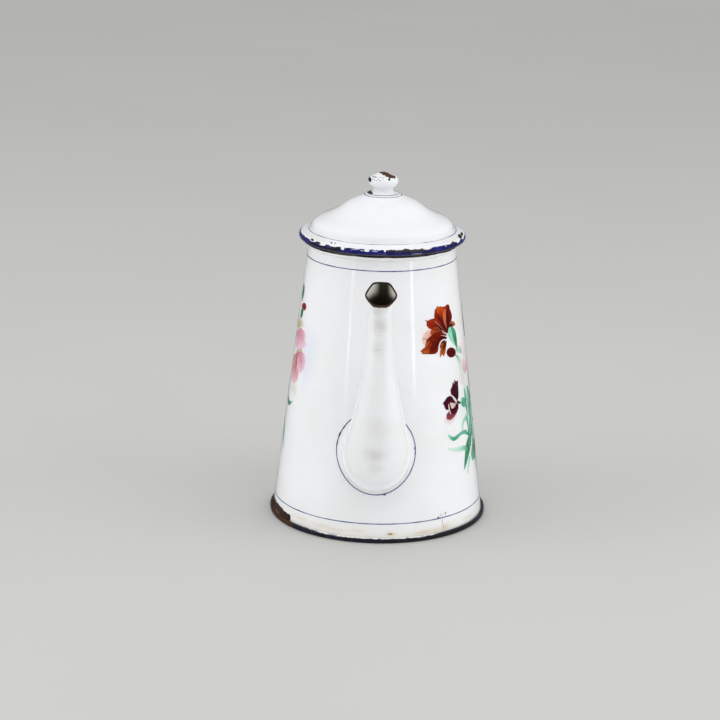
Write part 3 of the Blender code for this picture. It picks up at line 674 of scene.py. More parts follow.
def drills():
    shape = bmesh.new()
    for row, holes in enumerate(HOLE_ROWS):
        level = HOLE_LEVEL + (row - 2) * HOLE_PITCH * math.sin(math.pi / 3)
        for hole in range(holes):
            across = (hole - (holes - 1) / 2) * HOLE_PITCH
            drill(shape, HOLE_RADIUS, wall_stand(level, across / wall_radius(level)))
    for levels, bore in ((HANDLE_RIVETS, HANDLE_BORE), (BRACKET_RIVETS, BRACKET_BORE)):
        for level in levels:
            drill(shape, bore, wall_stand(level, math.pi))
    return shape


def cut_out(shape, cutter):
    """Cut one closed shape out of another and hand back the rest."""
    blank, tool = new_object("blank", shape), new_object("tool", cutter)
    boolean = blank.modifiers.new("cut", "BOOLEAN")
    boolean.operation, boolean.solver, boolean.object = "DIFFERENCE", "EXACT", tool
    done = blank.evaluated_get(bpy.context.evaluated_depsgraph_get())
    rest = bmesh.new()
    rest.from_mesh(done.data)
    for thing in (blank, tool):
        bpy.data.objects.remove(thing, do_unlink=True)
    return rest


def wall_middle():
    half = SHEET / 2
    foot = wall_radius(SEAM_LEVEL) - half
    curl = arc((LIP_RING, LIP_LEVEL), LIP_RADIUS - half, 180 - LIP_CURL, LIP_CURL, 10)
    levels = [SEAM_LEVEL + (LIP_LEVEL - SEAM_LEVEL) * step / WALL_STEPS for step in range(1, WALL_STEPS)]
    wall = [(wall_radius(level) - half, level) for level in levels[::-1]]
    return curl + wall + [(foot, SEAM_LEVEL), (foot, FLANGE_LEVEL), (foot + FLANGE_WIDTH, FLANGE_LEVEL)]


def on_lining(at, way):
    return at.z < LINING_TOP and math.hypot(at.x, at.y) < wall_radius(at.z) - SHEET * 0.6


body_wall = keep("body_wall", cut_out(lathe(sheet_outline(wall_middle(), SHEET)), drills()), "pot",
                 BODY_ENAMEL, LINING, stands_for=("body_shell",))
line_inside(body_wall.data, on_lining)

# %% [markdown]
# ## The base
# The flat bottom is folded up over the wall's flange, which leaves the round dark bead that the pot
# stands on. Its navy coat has worn to brown rust, mostly on the left.

# %% Base
BASE_RUST = WALL_RUST + ((276, 509, 3, 3), (281, 516, 4, 3), (287, 521, 3, 2))
# painted highlights on the dark bead: pixel across, pixel down, half width (mm)
BASE_PAINTED_HIGHLIGHTS = ((330, 534, 2.2), (335, 535, 1.6), (422, 536.5, 1.4))


def base_coat():
    """Dark enamel, bluer in places, worn to brown ground in others, with the wall's white above the seam and a
    few painted highlights.
    """
    coat = Coat("base_enamel", NEAR_BLACK, unevenness=0.1)
    tree = coat.tree
    coat.cover(remap(tree, coat.noise(120), 0.40, 0.66), NAVY)
    coat.cover(remap(tree, coat.noise(240), 0.60, 0.70), (0.050, 0.030, 0.020), 0.45, 0.00003)
    aside = calc(tree, "ABSOLUTE", coat.axes()["X"])
    higher = times(tree, remap(tree, aside, 30 * MM, 62 * MM), SEAM_RISE)
    level = minus(tree, plus(tree, coat.axes()["Z"], coat.wander(500, 0.0011)), higher)
    coat.cover(remap(tree, level, *SEAM_EDGE), (0.80, 0.79, 0.76), 0.15)
    for across, down, wide, high in BASE_RUST:
        coat.mark(seen_on_foot(across, down), (1.6 * wide, BASE_DEPTH, 1.4 * high), DARK_RUST, 0.5, 0.3, 600,
                  roughness=0.6, sink=0.00003)
    # painted highlights: pale blue-grey glints on the dark bead
    for across, down, wide in BASE_PAINTED_HIGHLIGHTS:
        coat.mark(seen_on_foot(across, down), (wide, CHIP_DEPTH, 0.35), (0.30, 0.30, 0.40), 0.8, 0.5, 500, 0.7)
    return coat.finish()


def base_middle():
    half = THIN_SHEET / 2
    inside = wall_radius(SEAM_LEVEL) + 0.3 * MM
    outside = BASE_RADIUS - half
    fold = rounded([(inside + 0.1 * MM, SEAM_LEVEL - half), (outside, SEAM_LEVEL - half), (outside, half),
                    (outside - 8 * MM, half)], 1.1 * MM, 6)
    return fold + [(0.02 * MM, half)]


keep("base_disc", lathe(sheet_outline(base_middle(), THIN_SHEET)), "pot", base_coat(),
     stands_for=("base_plate",), slot="navy_enamel")

# %% [markdown]
# ## The spout
# The tinsmith presses two halves and joins them before enamelling, so the coat hides the seam. Here one
# ring at the foot is extruded station by station up to the mouth, round its rim and back down inside.

# %% Spout lines
MOUTH_TILT = math.radians(45)
MOUTH_LEVEL, MOUTH_REACH, MOUTH_LENGTH = 170.9 * MM, 106.06 * MM, 17.2 * MM
FOOT_WIDTH, FOOT_LENGTH, NECK_WIDTH, MOUTH_WIDTH = 44.0 * MM, 48.0 * MM, 15.5 * MM, 19.8 * MM
SPOUT_GAP = 0.3 * MM
WIDTH_SHARES = ((0, 1), (0.25, 0.900), (0.35, 0.790), (0.5, 0.560), (0.6, 0.385), (0.68, 0.240),
                (0.75, 0.137), (0.83, 0.060), (0.9, 0.020), (0.95, 0), (1, 0))
MOUTH_SHARES = ((0, 1), (0.5, 1), (1, -0.1), (0.45, -1), (0, -1))
SPOUT_STATIONS, SPOUT_SIDES = 72, 36
FOOT_SWAY = -1.3 * MM
FRONT_AIM, BACK_AIM = (33 * MM, 5 * MM, 61 * MM, 11), (11 * MM, 5 * MM, 44.6 * MM, 15)
MOUTH_OFF_WALL = 58.3 * MM


def curve_point(points, share):
    a, b, c, d = points
    rest = 1 - share
    return a * rest ** 3 + b * 3 * rest ** 2 * share + c * 3 * rest * share ** 2 + d * share ** 3


def spout_line(side, lead, rise, tail, lean_degrees):
    """The spout's front (side -1) or back (side 1) line, from the wall to the mouth's rim."""
    level = HOLE_LEVEL + side * FOOT_LENGTH / 2 * math.cos(WALL_LEAN)
    start = Vector((-wall_radius(level) - SPOUT_GAP, level))
    rim = Vector((math.cos(MOUTH_TILT), math.sin(MOUTH_TILT))) * side * MOUTH_LENGTH / 2
    end = Vector((-wall_radius(MOUTH_LEVEL) - MOUTH_OFF_WALL, MOUTH_LEVEL)) + rim
    lean = math.radians(lean_degrees)
    return start, start + Vector((-lead, rise)), end + Vector((math.sin(lean), -math.cos(lean))) * tail, end


FRONT_LINE, BACK_LINE = spout_line(-1, *FRONT_AIM), spout_line(1, *BACK_AIM)


def mouth_point(share):
    corners = [Vector(corner) for corner in MOUTH_SHARES]
    lengths = [(b - a).length for a, b in zip(corners, corners[1:])]
    left = share * sum(lengths)
    for a, b, length in zip(corners, corners[1:], lengths):
        if left <= length:
            return a.lerp(b, left / length)
        left -= length
    return corners[-1]


def softened(ring, passes):
    """Average each point of a closed ring with its neighbours, to round the corners."""
    for _ in range(passes):
        ring = [(before + point * 2 + after) / 4
                for before, point, after in zip([ring[-1]] + ring, ring, ring[1:] + [ring[0]])]
    return ring


def full_outline(station):
    """A whole outline in shares: an oval at the foot that turns six-sided at the mouth."""
    facet = 0.8 * max(0, 2 * station - 1)
    half = []
    for step in range(SPOUT_SIDES + 1):
        angle = math.pi * step / SPOUT_SIDES
        oval = Vector((math.sin(angle), math.cos(angle)))
        half.append(oval.lerp(mouth_point(step / SPOUT_SIDES), facet))
    ring = half + [Vector((-point.x, point.y)) for point in half[-2:0:-1]]
    return softened(ring, 5) if facet else ring


def spout_ring(station, inset=0.0, lift=None):
    """One ring of the spout in space; a lift keeps a foot ring that far off the wall."""
    front = curve_point(FRONT_LINE, station)
    back = curve_point(BACK_LINE, station ** 1.8)
    centre, reach = (front + back) / 2, (back - front) / 2
    reach -= reach.normalized() * inset
    width = NECK_WIDTH + (FOOT_WIDTH - NECK_WIDTH) * smooth_read(WIDTH_SHARES, station)
    width += (MOUTH_WIDTH - NECK_WIDTH) * max(0, station - 0.95) / 0.05
    half = width / 2 - inset
    sway = FOOT_SWAY * (1 - station) ** 2
    ring = []
    for across, along in full_outline(station):
        spot = centre + reach * along
        x = across * (half + SPOUT_GAP / 2) + sway
        if lift is not None:
            spot.x = -math.sqrt((wall_radius(spot.y) + lift) ** 2 - x ** 2)
        ring.append(Vector((x, spot.x, spot.y)))
    return ring


# %% Spout skin
FILLET = ((0, -1.7 * MM, 0.02 * MM), (0, -1.0 * MM, 0.16 * MM), (0.006, -0.45 * MM, None),
          (0.016, -0.12 * MM, None))
RIM_ROUND = ((0.06, 0.5), (0.25, 0.9), (0.5, 1.0), (0.75, 0.9), (0.94, 0.5))
SPOUT_PAINTED_SHADE = (
    # painted shade on the spout's front, grey patches where it turns down and along two faint ripples, over
    # some grey staining: pixel across, pixel down, half width, half height (mm), strength
    (380, 310, 7, 5, 0.50), (381, 333.5, 4.5, 0.7, 0.35), (380, 347, 3.6, 1.4, 0.30), (381, 323, 7, 9, 0.48),
    (380, 345, 6, 12, 0.22), (380, 425, 11, 14, 0.20), (379, 453, 12, 11, 0.60), (380, 467, 10, 7, 0.45))


def spout_rings():
    """All rings in order: the enamel fillet on the wall, up outside, round the rim and down inside."""
    rings = [spout_ring(*row) for row in FILLET]
    stations = [0.028 + 0.972 * step / SPOUT_STATIONS for step in range(SPOUT_STATIONS + 1)]
    rings += [spout_ring(station) for station in stations]
    rise = Vector((0, -math.sin(MOUTH_TILT), math.cos(MOUTH_TILT))) * 0.3 * MM
    for inset, lift in RIM_ROUND:
        rings.append([point + rise * lift for point in spout_ring(1, inset * SHEET)])
    rings += [spout_ring(station, SHEET) for station in stations[::-1][::2]]
    return rings + [spout_ring(0, SHEET, 0.3 * MM)]


def mouth_depth(coat):
    """How far a point lies in front of the plane of the mouth, in metres."""
    aim = (0.0, -math.sin(MOUTH_TILT), math.cos(MOUTH_TILT))
    centre = (0.0, -MOUTH_REACH, MOUTH_LEVEL)
    away = vector_calc(coat.tree, "SUBTRACT", coat.place, centre)
    return vector_calc(coat.tree, "DOT_PRODUCT", away, aim)


def spout_outer_coat():
    coat = Coat("spout_enamel", WHITE, specks=0.12)
    tree = coat.tree
    # grey painted shade on the spout's front, over some grey staining
    for across, down, wide, high, strength in SPOUT_PAINTED_SHADE:
        spot = Vector((0.6 * MM * (across - 382), -105 * MM, (164.8 - 0.68 * (down - 306)) * MM))
        coat.stain(spot, (wide, SOFT_DEPTH, high), (0.42, 0.41, 0.38), strength, 0.5)
    edge = plus(tree, mouth_depth(coat), coat.wander(500, 0.0016, 4, 0.65))
    coat.cover(remap(tree, edge, -2.0 * MM, -0.9 * MM, 0.0, 0.35), STAIN)
    low = remap(tree, coat.axes()["Z"], MOUTH_LEVEL - 3 * MM, MOUTH_LEVEL - 6 * MM)
    rim = mix(tree, low, (0.026, 0.012, 0.009), (0.046, 0.018, 0.012))
    coat.cover(remap(tree, edge, -0.70 * MM, -0.45 * MM), rim, 0.45, 0.00004)
    return coat.finish()


def spout_inner_painted_shade():
    """The bore, painted near black for the shade inside it, with painted light that makes both sides paler near
    the mouth.
    """
    # painted shade: the bore's own colour is near black
    coat = Coat("spout_lining_painted_shade", (0.034, 0.032, 0.021), unevenness=0.3)
    tree = coat.tree
    depth = mouth_depth(coat)
    aside = calc(tree, "ABSOLUTE", minus(tree, coat.axes()["X"], 1.4 * MM))
    # painted light: both sides of the bore turn pale near the mouth, where light falls in
    pale = times(tree, remap(tree, aside, 1.8 * MM, 6.0 * MM), remap(tree, depth, -0.012, -0.001))
    high = remap(tree, coat.axes()["Z"], MOUTH_LEVEL - 5 * MM, MOUTH_LEVEL)
    coat.cover(times(tree, pale, high), (0.66, 0.65, 0.58))
    coat.cover(remap(tree, depth, -0.35 * MM, -0.15 * MM), (0.030, 0.014, 0.010), 0.4)
    return coat.finish()


spout_skin = keep("spout_skin", skin(spout_rings(), tube=True), "pot", spout_outer_coat(), spout_inner_painted_shade(),
                  stands_for=("spout_right", "spout_left"), crease=60)
outer_rings = len(FILLET) + SPOUT_STATIONS + 1 + 3
first_inner = outer_rings * 2 * SPOUT_SIDES
for face in spout_skin.data.polygons:
    face.material_index = int(min(face.vertices) >= first_inner)

# %% [markdown]
# ## The lid
# A domed pressing with a flat brim whose edge is rolled into a bead. The bead was dipped in cobalt, so
# the colour breaks off along a wavering line on top of the roll.

# %% Lid
BEAD_MARKS = (
    # kind, pixel across, pixel down, half width, half height (mm); the pale marks and the white one at 366.8
    # are painted highlights on the glossy cobalt
    ("white", 313, 239.8, 3.2, 1.1), ("white", 322, 243.6, 3.4, 1.1), ("white", 333, 245.4, 2.8, 0.8),
    ("white", 342.6, 248.2, 1.2, 1.2), ("brown", 312.3, 239.8, 1.1, 0.65), ("brown", 318, 242.8, 2.0, 0.7),
    ("black", 313, 243.6, 4.0, 0.8), ("black", 321, 246.8, 4.6, 0.8), ("brown", 329, 246.9, 1.8, 0.7),
    ("black", 337, 248.8, 3.0, 1.0), ("black", 331, 249.6, 4.4, 0.9), ("blue", 331.5, 242.8, 0.7, 0.45),
    ("blue", 335, 243.3, 0.5, 0.4), ("brown", 352.5, 255.0, 2.6, 0.45), ("brown", 347.5, 253.6, 1.0, 0.4),
    ("pale", 355, 249.3, 2.6, 0.3), ("white", 366.8, 250.6, 1.8, 0.7), ("black", 368.6, 253.2, 1.6, 0.45),
    ("pale", 375, 251.2, 2.2, 0.4), ("pale", 362, 250.6, 1.2, 0.4), ("white", 385, 250.6, 0.7, 1.0),
    ("brown", 391, 250.9, 2.2, 0.75), ("brown", 398, 251.7, 3.0, 0.75), ("brown", 406, 250.6, 2.4, 1.1),
    ("black", 408, 252.6, 2.8, 0.5), ("brown", 415, 250.8, 3.2, 0.95), ("brown", 422, 250.0, 2.4, 0.9),
    ("brown", 427, 250.4, 2.0, 0.5), ("pale", 417, 253.8, 4.4, 0.22), ("white", 427.5, 248.2, 3.0, 0.8),
    ("pale", 446, 245.9, 0.6, 0.5), ("white", 449, 243.2, 1.6, 0.6), ("brown", 453, 243, 1.2, 0.8),
    ("black", 455.5, 244.8, 1.5, 0.8), ("white", 458, 240.4, 1.5, 1.2), ("brown", 460, 236.2, 1.5, 2.2),
    ("white", 463, 237.6, 0.6, 0.7), ("black", 461.8, 233.8, 1.0, 0.6))
# the pale colour paints highlights on the cobalt
MARK_COLOURS = {"white": (0.78, 0.78, 0.78), "pale": (0.42, 0.42, 0.56), "blue": (0.16, 0.15, 0.42),
                "brown": (0.034, 0.025, 0.020), "black": (0.008, 0.006, 0.006)}
UNDER_EDGE, DIP_EDGE, DIP_RISE = (182.5 * MM, 181.7 * MM), (185.50 * MM, 185.25 * MM), 0.7 * MM
STUD_HOLE, DOME_TOP = 2.55 * MM, 210.186 * MM
COLLAR_RADIUS, COLLAR_TOP, COLLAR_FOOT = 43.7 * MM, 189.0 * MM, 174.9 * MM


def lid_middle():
    """The middle of the sheet: the dome's outer line moved in by half a sheet, the brim and the bead."""
    half = THIN_SHEET / 2
    outer = [(DOME_RADIUS * across, DOME_LEVEL + DOME_HEIGHT * up) for across, up in DOME_SHARES]
    dome = [Vector(point) for point in smooth_line(outer, 6)]
    inward = []
    for step, point in enumerate(dome):
        way = way_at(dome, step).normalized()
        inward.append(point + Vector((way.y, -way.x)) * half)
    inward = [point for point in inward if point.x > 2.6 * MM and point.y > DOME_LEVEL + 0.5 * MM]
    brim = rounded([inward[-1], (DOME_RADIUS - half, DOME_LEVEL - half * 0.7),
                    (BEAD_RING, BEAD_LEVEL + BEAD_RADIUS - half)], 0.7 * MM, 4)
    bead = arc((BEAD_RING, BEAD_LEVEL), BEAD_RADIUS - half, 90, -BEAD_CURL, 10)
    return [(STUD_HOLE, DOME_TOP)] + inward + brim[1:-1] + bead


def lid_coat():
    coat = Coat("lid_enamel", WHITE, specks=0.3)
    tree = coat.tree
    level = coat.axes()["Z"]
    ragged = coat.wander(420, 0.0016)
    blue = mix(tree, remap(tree, coat.noise(95), 0.42, 0.64), (0.007, 0.007, 0.092), (0.015, 0.019, 0.185))
    under = plus(tree, level, times(tree, ragged, 0.6))
    blue = mix(tree, remap(tree, under, *UNDER_EDGE), blue, (0.006, 0.005, 0.007))
    left = remap(tree, coat.axes()["X"], -44 * MM, -56 * MM, 0, DIP_RISE)
    dipped = remap(tree, minus(tree, plus(tree, level, ragged), left), *DIP_EDGE)
    coat.cover(dipped, blue)
    back = calc(tree, "GREATER_THAN", coat.axes()["Y"], 0.012)
    worn = times(tree, times(tree, remap(tree, coat.noise(330), 0.56, 0.61), dipped), back)
    coat.cover(worn, MARK_COLOURS["brown"], 0.45, 0.00004)
    # the marks are chips, wear, white showing through, and painted highlights (the pale kind)
    for kind, across, down, wide, high in BEAD_MARKS:
        softness = 0.35 if kind in ("pale", "blue") else 0.15
        rough, sink = (0.5, 0.00005) if kind in ("brown", "black") else (None, 0)
        coat.mark(seen_on_bead(across, down), (wide, BEAD_DEPTH, high), MARK_COLOURS[kind], 0.8, softness, 900,
                  roughness=rough, sink=sink)
    return coat.finish()


LID_LINING = Coat("lid_lining", (0.74, 0.735, 0.72), specks=0.8).finish()
lid_dome = keep("lid_dome", lathe(sheet_outline(lid_middle(), THIN_SHEET)), "lid", lid_coat(), LID_LINING,
                stands_for=("lid_shell",))
line_inside(lid_dome.data, lambda at, way: way.z < 0.1 and math.hypot(at.x, at.y) < 48 * MM)
collar_middle = [(COLLAR_RADIUS, COLLAR_TOP), (COLLAR_RADIUS, COLLAR_FOOT)]
keep("lid_ring", lathe(sheet_outline(collar_middle, THIN_SHEET)), "lid", LID_LINING, stands_for=("lid_collar",))

# %% [markdown]
# ## The knob
# The CAD has a flared foot and a mushroom button on a hidden stud. Once enamelled they look like one
# turned piece: the coat flows over the joint and down on to the dome, so one smooth line makes both.

# %% Knob
KNOB_LEVEL = 210.62 * MM
KNOB_POINTS = ((0, 223.98), (2.425, 223.67), (5.335, 222.56), (8.245, 221.12), (9.312, 219.96), (9.69, 218.21),
               (9.215, 216.46), (7.90, 215.05), (6.70, 214.15), (6.50, 213.20), (6.62, 212.45), (7.32, 211.80),
               (8.58, 211.25), (10.00, 210.86), (10.15, 210.74))


def knob_outline():
    side = smooth_line([(across * MM, up * MM) for across, up in KNOB_POINTS], 7)
    bore, top = 2.5 * MM, 218.2 * MM
    return side + [(10.1 * MM, KNOB_LEVEL), (bore, KNOB_LEVEL), (bore, top), (0, top)]


def knob_radius(level):
    """The knob's half width at a level, and a wide disc below its foot."""
    rows = [(up * MM, across * MM) for across, up in KNOB_POINTS[::-1]]
    return 30 * MM if level < rows[0][0] else smooth_read(rows, level)


KNOB_CHIPS = (
    # pixel across, pixel down, half width, half height (mm), brown or not
    (381.5, 172.0, 1.3, 0.7, True), (384.5, 173.3, 1.5, 0.9, True), (387.5, 174.8, 1.6, 1.1, True),
    (390.5, 176.2, 1.5, 0.9, True), (392.6, 176.8, 1.0, 0.6, True), (394.7, 177.3, 0.45, 0.6, False),
    (368.6, 178.0, 1.3, 1.3, False), (370.0, 179.8, 0.9, 1.1, False), (389.2, 179.5, 0.6, 0.6, False),
    (369.6, 192.1, 1.3, 0.6, False), (371.4, 193.2, 0.8, 0.5, False))
KNOB_SCRATCHES = (
    # pixel across, pixel down, half width, half height (mm), strength
    (372.6, 179.2, 0.6, 0.4, 0.9), (374.4, 179.7, 0.5, 0.4, 0.9), (376.4, 180.5, 0.5, 0.4, 0.9),
    (378.4, 179.4, 0.45, 0.45, 0.9), (380.2, 180.6, 0.7, 0.4, 0.9), (383, 179.6, 0.4, 0.4, 0.7),
    (374.5, 176.9, 2.4, 0.42, 0.75), (382, 177.6, 3.2, 0.3, 0.45))


def knob_coat():
    coat = Coat("knob_enamel", WHITE, specks=0.3)
    for across, down, wide, high, strength in KNOB_SCRATCHES:
        coat.mark(seen_on_ring(across, down, knob_radius), (wide, KNOB_DEPTH, high), (0.20, 0.19, 0.27),
                  0.7, 0.4, 1500, strength)
    for across, down, wide, high, brown in KNOB_CHIPS:
        colour = (0.085, 0.030, 0.016) if brown else NEAR_BLACK
        coat.chip(seen_on_ring(across, down, knob_radius), (1.25 * wide, KNOB_DEPTH, 1.3 * high),
                  0.5, 1500, colour)
    return coat.finish()


keep("turned_knob", lathe(knob_outline(), closed=False, steps=96), "lid", knob_coat(),
     stands_for=("knob_foot", "knob_cap"), crease=60)

# %% [markdown]
# ## The handle
# A strap bent to an ear shape, crowned across its width where the hand holds it, and flattened where it
# is riveted. The section is extruded along the CAD's own route, with its edges rounded by the enamel.

# %% Handle
HANDLE_SHEET = 1.2 * MM
TAB = 16 * MM
WIDTH_TOP, WIDTH_GRIP, WIDTH_FOOT, CROWN = 20 * MM, 21 * MM, 15 * MM, 4.6 * MM
TOP_LEVEL, FOOT_LEVEL = 157.0 * MM, 58.0 * MM
LEAD_SHARES = ((0.9, 0.75), (0.62, 0.5), (0.5, 0.3))
SHOULDER, BACK = (30.5 * MM, 12 * MM), (55.5 * MM, -19 * MM)
SECTION_SIDES, SPAN_STEPS, TAB_STEPS = 20, 24, 10
END_ROUND = 5 * MM


def tab_sag(level, width):
    return width ** 2 / (8 * wall_radius(level))


def handle_stations():
    """(point, heading, length so far) along the middle of the strap."""
    seat = SPOUT_GAP + HANDLE_SHEET / 2
    up = Vector((-math.sin(WALL_LEAN), math.cos(WALL_LEAN)))
    top = Vector((wall_radius(TOP_LEVEL) + seat, TOP_LEVEL))
    foot = Vector((wall_radius(FOOT_LEVEL) + seat, FOOT_LEVEL))
    wall = Vector((wall_radius(TOP_LEVEL), TOP_LEVEL))
    knots = ((top, up), (wall + Vector(SHOULDER), Vector((1, 0))), (wall + Vector(BACK), Vector((0, -1))),
             (foot, -up))
    route = [top - up * TAB * (1 - step / TAB_STEPS) for step in range(TAB_STEPS)]
    for (start, first_way), (end, last_way), leads in zip(knots, knots[1:], LEAD_SHARES):
        lead_out = first_way * abs((end - start).dot(first_way)) * leads[0]
        lead_in = last_way * abs((end - start).dot(last_way)) * leads[1]
        span = (start, start + lead_out, end - lead_in, end)
        route += [curve_point(span, step / SPAN_STEPS) for step in range(SPAN_STEPS)]
    route += [foot - up * TAB * step / TAB_STEPS for step in range(TAB_STEPS + 1)]
    length = 0
    stations = []
    for step, point in enumerate(route):
        if step:
            length += (point - route[step - 1]).length
        stations.append((point, way_at(route, step).normalized(), length))
    return stations


def straight_read(table, share):
    """Read a table of (place, value) pairs in straight steps."""
    for (start, low), (end, high) in zip(table, table[1:]):
        if share <= end:
            return low + (high - low) * (share - start) / (end - start)
    return table[-1][1]


def handle_rings():
    """The strap's sections: crowned along the grip, bowed to hug the wall at both tabs."""
    stations = handle_stations()
    total = stations[-1][2]
    tab = TAB / total
    top_sag, foot_sag = tab_sag(TOP_LEVEL, WIDTH_TOP), tab_sag(FOOT_LEVEL, WIDTH_FOOT)
    crowns = ((0, top_sag), (tab, top_sag), (3 * tab, -CROWN), (1 - 3 * tab, -CROWN), (1 - tab, -foot_sag),
              (1, -foot_sag))
    widths = ((0, WIDTH_TOP), (tab, WIDTH_TOP), (0.4, WIDTH_GRIP), (1 - tab, WIDTH_FOOT), (1, WIDTH_FOOT))
    rings = []
    for point, way, length in stations:
        share = length / total
        crown, full = straight_read(crowns, share), straight_read(widths, share)
        end = min(length, total - length)
        nip = END_ROUND - math.sqrt(END_ROUND ** 2 - max(END_ROUND - end, 0) ** 2)
        width = full - 2 * min(nip, 4 * MM)
        crown *= (width / full) ** 2
        seated = min(1, max(0, 1 - (end - TAB) / (10 * MM)))
        seat = point - Vector((abs(crown) * seated, 0))
        normal = Vector((way.y, -way.x))
        across = [2 * step / SECTION_SIDES - 1 for step in range(SECTION_SIDES + 1)]
        middle = [(width / 2 * x, crown * (1 - x * x)) for x in across]
        spots = [(point[0], seat + normal * point[1]) for point in sheet_outline(middle, HANDLE_SHEET)]
        rings.append([Vector((x, spot.x, spot.y)) for x, spot in spots])
    return rings


def plain_coat(name, worn):
    """White enamel with rusty pits and chips, for the handle and the small pieces."""
    coat = Coat(name, WHITE, specks=0.8)
    spots = cloud(coat.tree, coat.place, 420, 4, 0.62)
    bare = 0.70 - worn * 0.1
    coat.cover(remap(coat.tree, spots, bare - 0.04, bare, 0, 0.6), RUST, 0.5)
    coat.cover(remap(coat.tree, spots, bare, bare + 0.015), CHIP_DARK, 0.5, 0.00005)
    return coat.finish()


keep("strap_handle", skin(handle_rings(), tube=False), "pot", plain_coat("handle_enamel", 0.25),
     stands_for=("handle",), crease=60)
SMALL_ENAMEL = plain_coat("fittings_enamel", 0.6)

# %% [markdown]
# ## Rivets
# Six rivets with low domed heads hold the handle and the bracket. Each is turned upright at the origin
# and then stood on the wall by a matrix.

# %% Rivets
def rivet(name, level, radius, head, sheet):
    crown, grip = head * 0.55, sheet + 0.3 * MM + SHEET + 0.6 * MM
    dome = smooth_line([(0, crown), (head * 0.35, crown * 0.93), (head * 0.7, crown * 0.62), (head, 0.25 * MM)],
                       4)
    tail = [(head * 0.9, -grip), (head * 0.8, -grip - crown * 0.8), (0, -grip - crown)]
    shape = lathe(dome + [(head, 0), (radius, 0), (radius, -grip)] + tail, closed=False, steps=32)
    bmesh.ops.transform(shape, matrix=wall_stand(level, math.pi, sheet + 0.6 * MM), verts=shape.verts)
    return keep(name.replace("rivet", "domed_rivet"), shape, "pot", SMALL_ENAMEL, stands_for=(name,))


for number, level in enumerate(HANDLE_RIVETS, 1):
    rivet(f"handle_rivet_{number}", level, 1.7 * MM, 3.1 * MM, HANDLE_SHEET)
for number, level in enumerate(BRACKET_RIVETS, 1):
    rivet(f"bracket_rivet_{number}", level, 1.2 * MM, 2.2 * MM, SHEET)

# %% [markdown]
# ## Hinge
# The bracket and the lid's leaf keep the CAD's shape. A copy is merged, its flat faces are joined and
# its edges get the small round that enamel gives every edge. The pin and the stud are bare steel.

# %% Hinge
def eased_copy(node_name, new_name, body, width):
    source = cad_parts[node_name]
    shape = bmesh.new()
    shape.from_mesh(source.data)
    bmesh.ops.remove_doubles(shape, verts=shape.verts, dist=0.01 * MM)
    bmesh.ops.dissolve_limit(shape, angle_limit=math.radians(2), verts=shape.verts, edges=shape.edges)
    bmesh.ops.recalc_face_normals(shape, faces=shape.faces)
    sharp = [edge for edge in shape.edges if edge.is_manifold and edge.calc_face_angle(0) > math.radians(45)]
    bmesh.ops.bevel(shape, geom=sharp, affect="EDGES", offset=width, offset_type="OFFSET", segments=2,
                    profile=0.5, clamp_overlap=True, material=-1)
    return keep(new_name, shape, body, SMALL_ENAMEL, stands_for=(node_name,), crease=50)


def steel_coat():
    """Dull bare steel with brown rust in its pits."""
    coat = Coat("bare_steel", (0.34, 0.33, 0.32))
    rust = remap(coat.tree, cloud(coat.tree, coat.place, 500, 4, 0.6), 0.45, 0.60)
    coat.cover(rust, (0.12, 0.06, 0.03), 0.7, 0.00002)
    feed(coat.tree, coat.shader.inputs["Metallic"], minus(coat.tree, 1.0, rust))
    coat.roughness = remap(coat.tree, rust, 0, 1, 0.38, 0.75)
    return coat.finish()


STEEL = steel_coat()
eased_copy("hinge_bracket", "eased_bracket", "pot", 0.25 * MM)
eased_copy("lid_hinge_leaf", "eased_leaf", "lid", 0.22 * MM)


def turned_pin():
    inside, outside = 6.7 * MM, 7.6 * MM
    head = smooth_line([(0, outside), (0.9 * MM, outside - 0.06 * MM), (1.7 * MM, outside - 0.35 * MM),
                        (2.0 * MM, inside + 0.15 * MM)], 4) + [(2.0 * MM, inside), (1.1 * MM, inside)]
    shape = lathe(head + [(radius, -level) for radius, level in head[::-1]], closed=False, steps=32)
    bmesh.ops.rotate(shape, verts=shape.verts, cent=(0, 0, 0), matrix=Matrix.Rotation(math.pi / 2, 3, "Y"))
    bmesh.ops.translate(shape, verts=shape.verts, vec=(0, HINGE_Y, HINGE_LEVEL))
    return shape


keep("turned_pin", turned_pin(), "pot", STEEL, stands_for=("hinge_pin",), slot="bare_steel")
for name in ("knob_washer", "knob_stud"):
    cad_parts[name].data.materials.clear()
    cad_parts[name].data.materials.append(STEEL)

# %% [markdown]
# ## Painted lines
# A painter ran a fine blue line round the wall near the foot and near the top, one round the brim, two
# round the knob and an oval one round the spout. Each is a thin film that stands slightly proud, drawn
# with the small wavering of a hand and a turntable.

# %% Lines
LINE_BLUE, LINE_PALE = (0.036, 0.052, 0.230), (0.15, 0.16, 0.24)


def line_coat(name, colour, faded):
    """Thin blue paint that lets the white through here and there."""
    coat = Coat(name, colour, unevenness=0.1)
    thin = remap(coat.tree, coat.noise(110, 3), 0.42, 0.72, 0.0, faded)
    coat.cover(thin, WHITE)
    return coat.finish()


def painted_hoop(name, body, centre, way, width, material, waver=0.12 * MM):
    """A line round a turned surface: its centre and its way up or out, both seen in section."""
    way = Vector(way).normalized()
    middle = [Vector(centre) + way * width * share for share in (-0.5, 0, 0.5)]
    shape = lathe(sheet_outline(middle, 0.08 * MM))
    for vert in shape.verts:
        angle = math.atan2(vert.co.y, vert.co.x)
        around = Vector((math.cos(angle), math.sin(angle), centre[1] * 40))
        flat = Vector((math.hypot(vert.co.x, vert.co.y), vert.co.z))
        along = (flat - Vector(centre)).dot(way)
        moved = flat + way * (noise.noise(around * 2.2) * waver + along * 0.35 * noise.noise(around * 9))
        vert.co.x *= moved.x / flat.x
        vert.co.y *= moved.x / flat.x
        vert.co.z = moved.y
    return keep(name, shape, body, material)


def dome_level(radius):
    return DOME_LEVEL + DOME_HEIGHT * smooth_read(DOME_SHARES, radius / DOME_RADIUS)


